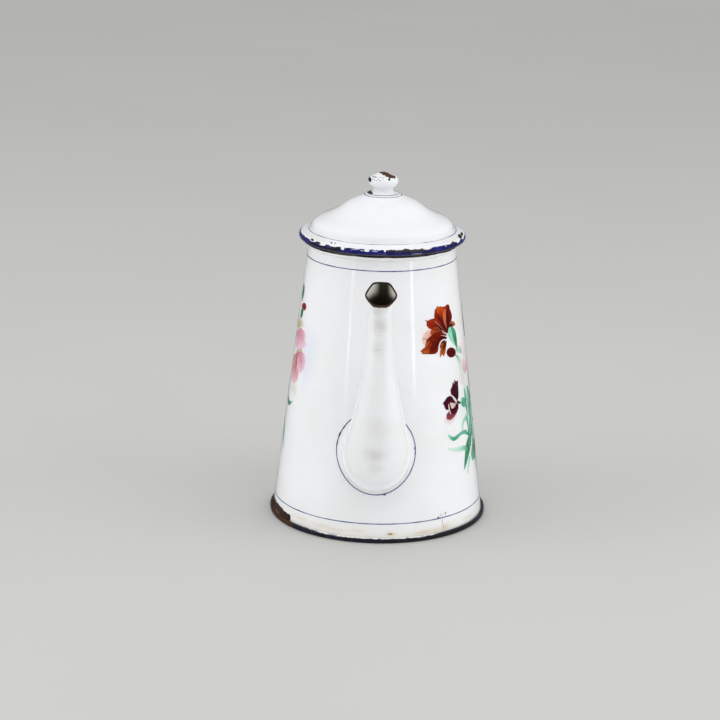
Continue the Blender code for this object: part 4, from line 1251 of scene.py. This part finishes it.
LINE, FINE_LINE = line_coat("line_enamel", LINE_BLUE, 0.30), line_coat("fine_line_enamel", LINE_PALE, 0.55)
wall_way = (WALL_TOP - WALL_FOOT, LIP_LEVEL)
brim_way = (BEAD_RING - DOME_RADIUS, BEAD_LEVEL + BEAD_RADIUS - DOME_LEVEL)
brim_ring = (DOME_RADIUS + brim_way[0] * 0.24, DOME_LEVEL + brim_way[1] * 0.24)
knob_ring = 12.0 * MM
knob_way = (1 * MM, dome_level(knob_ring + 0.5 * MM) - dome_level(knob_ring - 0.5 * MM))
for name, level, width in (("line_low", 12.0 * MM, 0.62 * MM), ("line_high", 170.8 * MM, 0.58 * MM)):
    painted_hoop(name, "pot", (wall_radius(level), level), wall_way, width, LINE)
painted_hoop("line_brim", "lid", brim_ring, brim_way, 0.55 * MM, FINE_LINE)
painted_hoop("line_knob", "lid", (knob_ring, dome_level(knob_ring)), knob_way, 0.6 * MM, FINE_LINE, 0.2 * MM)
painted_hoop("line_foot", "lid", (10.13 * MM, KNOB_LEVEL + 0.14 * MM), (0, 1), 0.28 * MM, FINE_LINE, 0.02 * MM)

# %% [markdown]
# ## Painted flowers
# Loose carnations, buds and grassy leaves, a traditional ornament on such ware. A petal is a fan from
# its root to a fringed rim. Each point keeps two colours, for the root and the tip, and its own place
# on the petal, and the material blends them in fine brush streaks that run from root to rim.

# %% Flower paint
LAYERS = ("root", "tip", "brush")


def paint_material(name):
    material, tree, shader, place = new_material(name)
    root, tip, brush = (node(tree, "ShaderNodeVertexColor", layer_name=layer) for layer in LAYERS)
    split = node(tree, "ShaderNodeSeparateColor")
    feed(tree, split.inputs[0], brush.outputs["Color"])
    across, along, seed = split.outputs

    def streaks(fine, coarse, shift, detail):
        spot = node(tree, "ShaderNodeCombineXYZ")
        feed(tree, spot.inputs[0], times(tree, across, fine))
        feed(tree, spot.inputs[1], times(tree, along, coarse))
        feed(tree, spot.inputs[2], calc(tree, "MULTIPLY_ADD", seed, 61.0, shift))
        return cloud(tree, spot.outputs[0], 1.0, detail, 0.6)

    lean = times(tree, minus(tree, streaks(11.0, 1.2, 0.0, 3.0), 0.5), 1.7)
    blend = plus(tree, remap(tree, along, 0.15, 1.0, -0.35, 0.85, smooth=False), lean)
    clamp = node(tree, "ShaderNodeClamp")
    feed(tree, clamp.inputs[0], blend)
    colour = mix(tree, clamp.outputs[0], root.outputs["Color"], tip.outputs["Color"])
    vein = remap(tree, streaks(30.0, 0.8, 7.0, 2.0), 0.52, 0.66, 0.0, 0.55)
    colour = mix(tree, vein, colour, mix(tree, 1.0, colour, (0.45, 0.36, 0.40), "MULTIPLY"))
    edge = remap(tree, calc(tree, "ABSOLUTE", minus(tree, across, 0.5)), 0.475, 0.498)
    colour = mix(tree, times(tree, edge, brush.outputs["Alpha"]), colour, (0.74, 0.68, 0.66))
    grain = remap(tree, cloud(tree, place, 1400, 3, 0.7), 0.60, 0.74, 0.0, 0.10)
    feed(tree, shader.inputs["Base Color"], mix(tree, grain, colour, (0.74, 0.72, 0.72)))
    feed(tree, shader.inputs["Roughness"], remap(tree, cloud(tree, place, 300, 3), 0.3, 0.7, 0.12, 0.24))
    shader.inputs["Specular IOR Level"].default_value = 0.15
    return material


PAINT = paint_material("painted_enamel")
print("material", PAINT.name)


# %% Brushes
PETAL_STEPS, PETAL_ROWS = 44, (1.0, 0.95, 0.88, 0.8, 0.7, 0.6, 0.5, 0.4, 0.3, 0.2, 0.1, 0.03)
FILM_LIFT, FILM_STEP = 0.03 * MM, 0.0034 * MM
SEED_STEP = 0.137


def sighted(across, down):
    """A place on the wall, (degrees round, level in mm), seen through a pixel of the photograph."""
    spot = seen_on_wall(across, down)
    return math.degrees(math.atan2(spot.x, -spot.y)), spot.z / MM


class Bouquet:
    """Paint films on the wall, gathered in one mesh. Places are (degrees round, level in mm)."""

    def __init__(self):
        self.shape = bmesh.new()
        self.layers = [self.shape.verts.layers.float_color.new(name) for name in LAYERS]
        self.films = 0

    def flat(self, anchor, place):
        """Unroll a place on the wall round an anchor, in metres."""
        level = place[1] * MM
        return Vector((math.radians(place[0] - anchor[0]) * wall_radius(level),
                       (place[1] - anchor[1]) * MM / math.cos(WALL_LEAN), 0))

    def wrap(self, verts, values, anchor):
        """Lay flat points back on the wall, each new film a hair above the last, with their colours."""
        self.films += 1
        proud = FILM_LIFT + FILM_STEP * self.films
        degrees, level = anchor
        for vert, colours in zip(verts, values):
            high = level * MM + vert.co.y * math.cos(WALL_LEAN)
            across = degrees + math.degrees(vert.co.x / wall_radius(high))
            vert.co = on_wall(across, high, proud)
            for layer, colour in zip(self.layers, colours):
                vert[layer] = colour

    def petal(self, root, rim, root_colour, tip_colour, edge=0.3, fringe=0.035):
        """A fan from its root through the places of its rim."""
        start = Vector((0, 0, 0))
        spots = [self.flat(root, place) for place in rim]
        seed = (self.films * SEED_STEP) % 1
        curve = []
        tables = [[(row, point[axis]) for row, point in enumerate(spots)] for axis in (0, 1)]
        for step in range(PETAL_STEPS + 1):
            place = step / PETAL_STEPS * (len(spots) - 1)
            spot = Vector([smooth_read(table, place) for table in tables] + [0])
            jag = noise.noise(Vector((step * 0.55, seed * 30, 0)))
            jag += 0.7 * noise.noise(Vector((step * 1.7, seed * 30, 4)))
            curve.append(spot * (1 + fringe * jag * min(1, step / 4, (PETAL_STEPS - step) / 4)))
        grid = extrude_rows(self.shape, [[start.lerp(point, share) for point in curve] for share in PETAL_ROWS])
        values = [((*root_colour, 1), (*tip_colour, 1), (step / PETAL_STEPS, share, seed, edge))
                  for share in PETAL_ROWS for step in range(PETAL_STEPS + 1)]
        self.wrap([vert for row in grid for vert in row], values, root)

    def fan(self, centre, heading, length, spread, root_colour, tip_colour, edge=0.3):
        """A plain petal from a centre: heading and half spread in degrees, length in mm."""
        rim = []
        for share in (-1, -0.6, -0.2, 0.2, 0.6, 1):
            angle = math.radians(heading + spread * share)
            reach = length * (1 - 0.22 * share * share)
            round_wall = math.degrees(reach * math.cos(angle) * MM / wall_radius(centre[1] * MM))
            rim.append((centre[0] + round_wall, centre[1] + reach * math.sin(angle)))
        self.petal(centre, rim, root_colour, tip_colour, edge, 0.07)

    def stroke(self, points, colours, steps=10, closed=False):
        """A brush stroke through (degrees, level, half width in mm), its colours spread along it."""
        total = (len(points) - 1) * steps
        rows = [[(number, point[column]) for number, point in enumerate(points)] for column in (0, 1, 2)]
        path = [[smooth_read(row, step / steps) for row in rows] for step in range(total + 1)]
        anchor = points[0][:2]
        centre = [self.flat(anchor, at) for at in path]
        lines = ([], [], [])
        for step, spot in enumerate(centre):
            way = way_at(centre, step)
            if closed and step in (0, total):
                way = (centre[1] - centre[0]) + (centre[total] - centre[total - 1])
            side = Vector((-way.y, way.x, 0)).normalized() * path[step][2] * MM
            for line, share in zip(lines, (1, 0, -1)):
                line.append(spot + side * share)
        grid = extrude_rows(self.shape, lines)
        seed = (self.films * SEED_STEP) % 1
        values = []
        for row in (0, 0.5, 1):
            for step in range(total + 1):
                place = step / total * (len(colours) - 1)
                low = min(int(place), len(colours) - 2)
                colour = [a + (b - a) * (place - low) for a, b in zip(colours[low], colours[low + 1])]
                pale = [a + (b - a) * 0.25 for a, b in zip(colour, (0.75, 0.75, 0.75))]
                values.append(((*colour, 1), (*pale, 1), (row, 0.5, seed, 0)))
        self.wrap([vert for line in grid for vert in line], values, anchor)

    def seen_petal(self, root, rim, *values):
        self.petal(sighted(*root), [sighted(*point) for point in rim], *values)

    def seen_stroke(self, points, *colours):
        """A stroke measured in pixels; its half width in mm, as the camera sees it, is spread on the wall."""
        spread = []
        for step, point in enumerate(points):
            before, after = points[max(step - 1, 0)], points[min(step + 1, len(points) - 1)]
            way = Vector((after[0] - before[0], after[1] - before[1])).normalized()
            place = sighted(*point[:2])
            turned = max(math.cos(math.radians(place[0])), 0.22)
            spread.append((*place, point[2] * math.hypot(way.y / turned, way.x)))
        self.stroke(spread, colours)

    def seen_bud(self, across, down, wide, high, *colours):
        """A round bud, its half sizes in pixels."""
        turns = [math.pi * step / 8 for step in range(17)]
        rim = [(across + wide * math.cos(turn), down + high * math.sin(turn)) for turn in turns]
        self.seen_petal((across, down), rim, *colours, 0, 0.02)

    def paint(self, rows):
        """Paint what was measured in the photograph, row by row: a kind of mark and its values."""
        brushes = {"stroke": self.seen_stroke, "petal": self.seen_petal, "bud": self.seen_bud}
        for kind, *values in rows:
            brushes[kind](*values)

    def bud(self, centre, radius, *colours):
        for heading in range(0, 360, 60):
            self.fan(centre, heading, radius, 36, *colours, 0.0)

    def keep(self, name):
        bmesh.ops.recalc_face_normals(self.shape, faces=self.shape.faces)
        for face in self.shape.faces:
            out = face.calc_center_median()
            if face.normal.dot(Vector((out.x, out.y, 0))) < 0:
                face.normal_flip()
        return keep(name, self.shape, "pot", PAINT)


# %% Flower colours
BLOOD, ORANGE, AMBER, PEACH = (
    (0.060, 0.000, 0.000), (0.36, 0.022, 0.000), (0.55, 0.11, 0.012), (0.70, 0.36, 0.20))
PLUM, DARK_PLUM, ROSE, PINK, PALE_PINK = (
    (0.070, 0.003, 0.018), (0.028, 0.001, 0.008), (0.46, 0.18, 0.16), (0.66, 0.40, 0.44), (0.76, 0.62, 0.65))
CRIMSON, SKIN, OLIVE = (0.16, 0.005, 0.010), (0.72, 0.54, 0.50), (0.46, 0.42, 0.24)
TEAL, LEAF, DARK_LEAF, PALE_LEAF, MIST = (
    (0.12, 0.42, 0.32), (0.020, 0.29, 0.13), (0.006, 0.16, 0.050), (0.26, 0.62, 0.46), (0.56, 0.73, 0.66))
WHITE_LINE, DEEP_TEAL = (0.78, 0.77, 0.76), (0.004, 0.11, 0.055)


def round_carnation(art, centre, colours, start, length):
    """A carnation seen from the front: six overlapping fans and a small heart."""
    for number in range(6):
        heading = start + 60 * number
        reach = length * (1 + 0.12 * math.sin(number * 2.3 + start))
        art.fan(centre, heading, reach, 31, colours[number % 2], colours[2 + number % 2])
    art.bud(centre, 2.4, colours[0], colours[1])


print("paint box ready")


# %% Right bouquet
# What the photograph shows, from the wall's side to the front. A stroke has its places (pixel across, pixel
# down, half width in mm) and its colours. A petal has its root, its rim, two colours, and how pale its edge
# and how deep its fringe is. A bud has its centre, half sizes in pixels and two colours.
PINK_BUDS = (
    ("petal", (464.4, 374), [(460.6, 366), (461.2, 361.4), (463.6, 358.6), (466, 361), (467, 366)], PINK,
        PALE_PINK, 0),
    ("petal", (463.6, 357), [(460.4, 351), (460.6, 344), (461.6, 338), (463, 337), (463.6, 344), (464.8, 351)],
        PALE_PINK, (0.78, 0.71, 0.73), 0),
    ("petal", (464.2, 372), [(460.4, 374), (459.2, 379), (460.2, 383.4), (462.8, 384), (464.8, 379)], PALE_PINK,
        (0.78, 0.7, 0.72), 0))
RIGHT_LEAVES = (
    ("stroke", [(466, 388, 0.6), (467.5, 400, 0.9), (468.5, 415, 1.0), (471, 432, 0.8)], MIST, TEAL, MIST),
    ("stroke", [(470, 398, 0.5), (472, 412, 0.9), (472.6, 425, 0.9), (472.5, 440, 0.5)], MIST, PALE_LEAF, MIST),
    ("stroke", [(464, 388, 0.3), (466, 403, 0.6), (467.5, 412, 0.5), (470, 430, 0.5), (470.6, 446, 0.3)], TEAL,
        DARK_LEAF, TEAL, LEAF),
    ("stroke", [(466.6, 386, 0.3), (469, 402, 0.4), (470.6, 420, 0.5), (472.6, 440, 0.5), (473.6, 456, 0.3)],
        TEAL, LEAF, TEAL),
    ("stroke", [(462.5, 431, 0.5), (462.6, 424, 0.7), (465, 418.5, 0.8), (469, 419, 0.9), (471.3, 425, 0.6)],
        MIST, PALE_LEAF, TEAL),
    ("stroke", [(447.8, 434.5, 0.2), (450.5, 437.5, 0.9), (454, 438.8, 1.3), (457.5, 436.5, 1.0),
        (461, 433.3, 0.8), (465, 431.8, 1.3), (468.5, 434.5, 0.4)], PALE_LEAF, LEAF, TEAL, LEAF),
    ("stroke", [(448, 448.8, 0.4), (453, 449.6, 1.1), (459, 449.2, 1.4), (464, 447.8, 1.6),
        (467.5, 449.5, 0.8)], MIST, MIST, PALE_LEAF, LEAF),
    ("stroke", [(470.8, 432, 0.3), (469, 442, 1.3), (467, 453, 1.3), (464.3, 468.5, 0.25)], LEAF, DARK_LEAF,
        LEAF),
    ("stroke", [(469.5, 456, 0.5), (468.6, 464, 0.6), (467.6, 474, 0.3)], PALE_LEAF, MIST),
    ("stroke", [(474.8, 439, 0.4), (474, 448, 1.3), (471.5, 457.5, 0.9)], LEAF, DARK_LEAF, TEAL),
    ("stroke", [(474.5, 452, 0.4), (476, 463, 0.6), (477, 472, 0.3)], TEAL, MIST),
    ("stroke", [(461, 398, 0.2), (463, 401.8, 1.4), (465.4, 406.3, 0.3)], PALE_LEAF, LEAF, TEAL),
    ("stroke", [(467, 385, 0.12), (469.4, 396, 0.3), (470.4, 410, 0.15)], TEAL, DEEP_TEAL, TEAL),
    ("stroke", [(465.4, 414, 0.15), (468.2, 428, 0.35), (469.2, 448, 0.2)], TEAL, DEEP_TEAL, TEAL),
    ("stroke", [(472.4, 424, 0.12), (474.4, 438, 0.25), (476, 456, 0.12)], TEAL, DEEP_TEAL, TEAL),
    ("stroke", [(466.4, 452, 0.1), (465.6, 462, 0.3), (464.4, 470, 0.1)], TEAL, DEEP_TEAL, TEAL),
    ("stroke", [(466, 400, 0.1), (468, 416, 0.22), (467.8, 430, 0.1)], WHITE_LINE, MIST),
    ("stroke", [(471, 414, 0.1), (472.4, 428, 0.22), (473, 444, 0.1)], WHITE_LINE, MIST),
    ("stroke", [(455.8, 347, 0.4), (457.4, 350.6, 0.6), (458.6, 353.6, 0.3)], TEAL, MIST),
    ("stroke", [(458.2, 345.5, 0.3), (459.6, 349, 0.7), (461.2, 352.6, 0.3)], MIST, TEAL),
    ("stroke", [(455, 354.5, 0.3), (459, 360, 0.7), (462, 372, 0.6), (465, 388, 0.5)], TEAL, MIST, MIST))
ORANGE_FLOWER = (
    ("petal", (446.8, 335), [(437, 326.5), (431, 328), (426, 331.5), (423, 336), (422.4, 341), (424, 344.5),
        (428, 343), (436, 339.5)], (0.55, 0.13, 0.04), (0.77, 0.6, 0.52), 0),
    ("petal", (446.8, 335), [(437.6, 327), (433, 328.2), (430.4, 331), (430.6, 334.4), (434, 337.5),
        (438, 338.6)], BLOOD, (0.46, 0.08, 0.016), 0),
    ("petal", (447.6, 333.4), [(435.6, 317.5), (431, 319), (428, 320.6), (424.8, 320.2), (427, 322.4),
        (426.6, 325.6), (429, 328.6), (434, 329.4), (438.6, 329.6)], BLOOD, ORANGE),
    ("petal", (447.4, 333.6), [(434.6, 322), (434.2, 316), (435, 310), (437.2, 306), (441, 306.6),
        (444.6, 306.2), (448, 304), (449.6, 308.8), (451.4, 314), (451.6, 318), (450.4, 322), (448.8, 326.4)],
        BLOOD, ORANGE, 0.3),
    ("petal", (447.6, 333), [(445.6, 310), (448, 305), (449.6, 309), (451.2, 314), (451.4, 318), (450, 322.4),
        (448.6, 326.6)], BLOOD, (0.17, 0.005, 0.001), 0),
    ("petal", (441.4, 317), [(436.2, 312), (436.6, 308.2), (438.4, 306.6), (441.4, 307.4), (443.4, 309.6)],
        ORANGE, AMBER, 0),
    ("petal", (447, 337.4), [(442.4, 331.8), (437, 332.4), (431.4, 335), (427, 339.4), (425, 344), (423.6, 348),
        (420.4, 351.6), (424.6, 354.2), (430.5, 354), (435.4, 354), (436.2, 349.6), (438, 344.6), (441, 340.8)],
        BLOOD, (0.2, 0.01, 0.0), 0.3, 0.05),
    ("petal", (431.6, 343), [(428.6, 340.6), (425.6, 345), (423.6, 349), (421, 351.8), (424.6, 353.6),
        (428.6, 352.6)], (0.24, 0.014, 0.0), AMBER, 0),
    ("petal", (446.4, 340.4), [(441, 344), (440.2, 349), (439.8, 353), (440.2, 357.4), (442, 354.2),
        (443.6, 356.4), (445.2, 351.5), (446, 346)], BLOOD, AMBER, 0),
    ("petal", (449.2, 327), [(449.7, 322.2), (451.4, 320.8), (454, 322), (455, 324.8), (452.4, 326.8)], BLOOD,
        (0.6, 0.2, 0.09), 0.3),
    ("stroke", [(444.8, 308.6, 0.3), (443.9, 315, 0.95), (444.6, 321, 0.75), (446.5, 329, 0.15)],
        (0.5, 0.11, 0.02), AMBER, ORANGE),
    ("stroke", [(447.4, 339.6, 0.25), (443, 339.8, 0.35), (440, 343, 0.35), (438.6, 349, 0.4),
        (438.2, 356.5, 0.2)], WHITE_LINE, WHITE_LINE),
    ("stroke", [(447.4, 334.6, 0.2), (444, 332.4, 0.22), (441.4, 330, 0.1)], WHITE_LINE, PEACH),
    ("stroke", [(447, 337, 0.2), (444, 335.8, 0.2), (440.4, 335.4, 0.1)], WHITE_LINE, ROSE),
    ("stroke", [(450.4, 327.2, 0.7), (452.6, 333, 1.75), (454.6, 339.4, 1.3), (456.9, 347.4, 0.15)], LEAF, LEAF,
        DARK_LEAF, LEAF),
    ("stroke", [(449.4, 327.4, 0.6), (449.8, 333, 1.3), (451.8, 339, 0.8), (455, 345.8, 0.12)], PALE_LEAF,
        PALE_LEAF),
    ("bud", 451, 352.4, 4.6, 5.0, BLOOD, (0.11, 0.004, 0.001)))
PLUM_FLOWER = (
    ("petal", (456.8, 401), [(451.2, 395.4), (450.4, 390), (452, 386), (452.4, 382), (454, 384), (454, 379.8),
        (455.8, 381.4), (457.4, 380.4), (457.9, 386), (458.2, 392), (458.2, 397.6)], DARK_PLUM, PLUM, 0.25),
    ("petal", (456.6, 404), [(451.6, 396.6), (449, 396), (446.6, 397.8), (444.6, 400.4), (442.6, 403.4),
        (444.4, 406), (445.4, 409), (447.6, 409.8), (448.6, 406), (450, 402.6)], PLUM, DARK_PLUM, 0.5),
    ("petal", (458, 403), [(448.8, 406.6), (448.6, 411), (446.4, 415), (446.8, 419), (450.6, 419.6),
        (455, 415.4), (458.2, 408.6)], PLUM, (0.3, 0.055, 0.075), 0),
    ("petal", (457.4, 403.4), [(449.8, 408.4), (450.8, 413), (453.4, 414.2), (456.4, 411), (458, 407)],
        DARK_PLUM, PLUM, 0),
    ("petal", (455.8, 403.2), [(449.6, 402.4), (450.4, 405.8), (451.8, 408.6), (454.2, 407)],
        (0.62, 0.42, 0.42), SKIN, 0),
    ("stroke", [(451, 395.2, 0.25), (453.6, 397.6, 0.35), (456, 400.2, 0.2)], WHITE_LINE, WHITE_LINE),
    ("stroke", [(448.4, 404, 0.2), (448.8, 409, 0.3), (450.6, 414.4, 0.2)], WHITE_LINE, SKIN),
    ("stroke", [(456.6, 401.6, 0.7), (458.6, 402.4, 0.8), (461, 402.8, 0.15)], DARK_PLUM, PLUM))


def right_bouquet():
    art = Bouquet()
    for heading, length in ((60, 11), (20, 11), (330, 10), (290, 12)):
        art.fan((84, 98), heading, length, 30, PINK, PALE_PINK, 0.0)
    art.paint(PINK_BUDS + RIGHT_LEAVES + ORANGE_FLOWER + PLUM_FLOWER)
    round_carnation(art, (107, 128), (BLOOD, BLOOD, ORANGE, AMBER), 20, 17)
    round_carnation(art, (106, 84), (PLUM, DARK_PLUM, ROSE, PLUM), 50, 14)
    art.stroke([(100, 112, 0.4), (97, 98, 0.8), (92, 78, 0.9), (86, 46, 0.4)], (TEAL, LEAF, PALE_LEAF))
    art.stroke([(105, 72, 0.4), (100, 60, 0.9), (90, 42, 0.3)], (TEAL, LEAF))
    art.stroke([(88, 58, 0.3), (98, 62, 1.8), (110, 57, 2.2), (122, 64, 0.3)], (DARK_LEAF, LEAF, PALE_LEAF))
    art.stroke([(88, 52, 0.3), (102, 44, 2.0), (118, 46, 0.3)], (LEAF, PALE_LEAF))
    art.bud((118, 108), 3.0, BLOOD, CRIMSON)
    art.stroke([(117, 104, 0.5), (112, 96, 0.8), (99, 84, 0.4)], (LEAF, TEAL))
    return art.keep("flowers_right")


# %% Left bouquet
LEFT_FRONT = (
    ("stroke", [(304, 283.5, 0.3), (303.6, 290, 0.7), (302.6, 297, 0.55), (302.2, 301, 0.2)], DARK_LEAF,
        DARK_LEAF, TEAL),
    ("bud", 304.2, 306.6, 2.3, 4.0, CRIMSON, (0.42, 0.06, 0.11)),
    ("stroke", [(303.6, 309, 0.3), (301.8, 313, 0.8), (300.6, 318, 0.2)], DARK_LEAF, DARK_LEAF),
    ("petal", (298.5, 329), [(297.5, 322), (299.5, 318.5), (302, 321), (302.6, 325)], OLIVE, (0.6, 0.58, 0.42),
        0),
    ("petal", (300.6, 327.5), [(297, 331), (295.8, 338), (295.6, 345), (297, 349.6), (301.4, 349.8),
        (306.4, 345), (304.6, 341), (306.2, 336), (304.4, 331)], (0.58, 0.27, 0.36), (0.78, 0.6, 0.68), 0.4),
    ("petal", (300, 351), [(294.6, 354), (292.4, 362), (291.4, 372), (291.8, 380), (295, 382.6), (298, 378),
        (299.2, 366)], (0.48, 0.17, 0.19), (0.76, 0.5, 0.56), 0.4),
    ("petal", (300.4, 351), [(297.6, 358), (297.4, 368), (299.6, 373), (303.6, 369), (305.6, 361),
        (304.8, 353.6)], (0.58, 0.27, 0.36), (0.78, 0.6, 0.68), 0.4),
    ("stroke", [(302.6, 351.4, 0.3), (299.6, 350.2, 0.9), (296.4, 351.6, 0.4)], OLIVE, (0.52, 0.4, 0.22)),
    ("stroke", [(298.2, 355, 0.15), (296.6, 361, 0.4), (295.4, 369, 0.15)], (0.34, 0.12, 0.07),
        (0.42, 0.16, 0.12)),
    ("stroke", [(288.4, 394.5, 0.15), (288.4, 399, 0.35), (289.2, 402.4, 0.5), (291, 402.6, 0.4),
        (292.8, 400.6, 0.1)], TEAL, DARK_LEAF, TEAL))


def left_bouquet():
    art = Bouquet()
    art.paint(LEFT_FRONT)
    round_carnation(art, (-106, 124), (CRIMSON, BLOOD, PINK, ROSE), 10, 17)
    round_carnation(art, (-106, 84), (PLUM, DARK_PLUM, ROSE, PLUM), 35, 14)
    art.stroke([(-98, 108, 0.4), (-95, 92, 0.8), (-90, 66, 0.8), (-88, 44, 0.3)], (TEAL, LEAF, PALE_LEAF))
    art.stroke([(-90, 58, 0.3), (-100, 62, 1.8), (-110, 57, 2.2), (-120, 64, 0.3)],
               (DARK_LEAF, LEAF, PALE_LEAF))
    art.stroke([(-86, 62, 0.4), (-81, 54, 1.6), (-77, 44, 0.3)], (LEAF, PALE_LEAF))
    art.bud((-117, 106), 3.0, BLOOD, CRIMSON)
    art.stroke([(-116, 102, 0.5), (-110, 94, 0.8), (-98, 82, 0.4)], (LEAF, TEAL))
    return art.keep("flowers_left")


# %% Hoop
# the oval's centre and half sizes (mm), and the flecks where it has chipped (pixels, half width in mm)
HOOP_ACROSS, HOOP_LEVEL, HOOP_WIDTH, HOOP_HEIGHT, HOOP_STEPS = -1.3, 57, 24.8, 26.4, 36
HOOP_FLECKS = (
    [(341.7, 430.6, 0.2), (339.9, 434, 0.5), (338.7, 437.4, 0.3)],
    [(337.6, 441, 0.2), (337, 443.6, 0.35), (336.8, 446, 0.2)],
    [(345.6, 425.6, 0.2), (344.4, 427, 0.3), (343, 428.8, 0.2)])


def spout_hoop():
    """The oval line round the spout's foot."""
    art = Bouquet()
    points = []
    for step in range(HOOP_STEPS + 1):
        turn = 2 * math.pi * step / HOOP_STEPS
        level = HOOP_LEVEL + HOOP_HEIGHT * math.sin(turn)
        across = (HOOP_ACROSS + HOOP_WIDTH * math.cos(turn)) * MM
        width = 0.31 + 0.08 * noise.noise(Vector((math.cos(turn) * 3, math.sin(turn) * 3, 1)))
        points.append((math.degrees(math.asin(across / wall_radius(level * MM))), level, width))
    art.stroke(points, (LINE_BLUE, LINE_BLUE), 5, True)
    for fleck in HOOP_FLECKS:
        art.seen_stroke(fleck, NEAR_BLACK, NEAR_BLACK)
    return art.keep("line_spout")


right_bouquet()
left_bouquet()
spout_hoop()

# %% [markdown]
# ## Floor and light
# The pot stands on pale paper between two tall soft boxes, with a third above. The room is a little
# darker on the camera's side, which models the round spout. The enamel mirrors only two slim lamps, which
# draw the fine streaks, and a dimmed room and floor, so that dark chips stay dark.

# %% Stage
FLOOR_SEEN, FLOOR_GIVEN, FLOOR_SHINE = (0.52, 0.515, 0.50), (0.86, 0.855, 0.84), (0.16, 0.155, 0.15)
ROOM_TONE, ROOM_LIGHT = (0.60, 0.595, 0.58), (0.99, 0.995, 1.0)
ROOM_STRENGTH, CAMERA_SIDE_SHARE, GLOSSY_SHARE = 0.88, 0.40, 0.22
LAMP_AIM = Vector((0, 0, 0.11))
LAMPS = (
    # name, degrees to the right of the camera, distance, level, width, height (m), watts, mirrored or not
    ("soft_left", -74, 1.5, 0.70, 1.0, 1.5, 7.0, False),
    ("soft_right", 72, 1.5, 0.70, 1.0, 1.5, 7.8, False),
    ("soft_top", 0, 0.45, 1.7, 1.4, 1.4, 5.5, False),
    ("streak_left", -42, 1.5, 0.30, 0.05, 1.2, 0.8, True),
    ("streak_right", 45, 1.5, 0.30, 0.10, 1.2, 1.5, True))


def stage_floor():
    shape = bmesh.new()
    bmesh.ops.create_grid(shape, x_segments=1, y_segments=1, size=4)
    floor = new_object("floor", shape)
    material, tree, shader, place = new_material("floor_paper")
    shade = remap(tree, cloud(tree, place, 3, 2), 0.3, 0.7, 0.0, 1.0)
    seen = mix(tree, shade, FLOOR_SEEN, tuple(tone * 1.02 for tone in FLOOR_SEEN))
    path = node(tree, "ShaderNodeLightPath")
    given = mix(tree, path.outputs["Is Glossy Ray"], FLOOR_GIVEN, FLOOR_SHINE)
    feed(tree, shader.inputs["Base Color"], mix(tree, path.outputs["Is Camera Ray"], given, seen))
    shader.inputs["Roughness"].default_value = 0.8
    shader.inputs["Specular IOR Level"].default_value = 0.1
    floor.data.materials.append(material)


def set_world():
    """A soft room that is darker towards the camera's side; the camera sees a plain pale tone."""
    world = bpy.data.worlds.new("soft_room")
    scene.world = world
    world.use_nodes = True
    tree = world.node_tree
    tree.nodes.clear()
    way = node(tree, "ShaderNodeTexCoord").outputs["Generated"]
    ahead = vector_calc(tree, "DOT_PRODUCT", way, (0.0, -1.0, 0.0))
    light = node(tree, "ShaderNodeBackground")
    path = node(tree, "ShaderNodeLightPath")
    dimmed = remap(tree, path.outputs["Is Glossy Ray"], 0, 1, 1, GLOSSY_SHARE, smooth=False)
    room = remap(tree, ahead, 0.62, 0.97, ROOM_STRENGTH, ROOM_STRENGTH * CAMERA_SIDE_SHARE)
    feed(tree, light.inputs["Strength"], times(tree, room, dimmed))
    view = node(tree, "ShaderNodeBackground")
    view.inputs["Color"].default_value = (*ROOM_TONE, 1)
    light.inputs["Color"].default_value = (*ROOM_LIGHT, 1)
    blend = node(tree, "ShaderNodeMixShader")
    feed(tree, blend.inputs[0], path.outputs["Is Camera Ray"])
    tree.links.new(light.outputs[0], blend.inputs[1])
    tree.links.new(view.outputs[0], blend.inputs[2])
    tree.links.new(blend.outputs[0], node(tree, "ShaderNodeOutputWorld").inputs[0])


def lamp(name, azimuth, distance, level, wide, high, watts, mirrored):
    """An area lamp that looks at the pot."""
    data = bpy.data.lights.new(name, "AREA")
    data.shape = "RECTANGLE"
    data.size, data.size_y, data.energy = wide, high, watts
    made = bpy.data.objects.new(name, data)
    turn = math.radians(azimuth)
    made.location = (distance * math.sin(turn), -distance * math.cos(turn), level)
    made.rotation_euler = (LAMP_AIM - made.location).to_track_quat("-Z", "Y").to_euler()
    made.visible_camera = False
    made.visible_glossy = mirrored
    scene.collection.objects.link(made)


stage_floor()
set_world()
for row in LAMPS:
    lamp(*row)
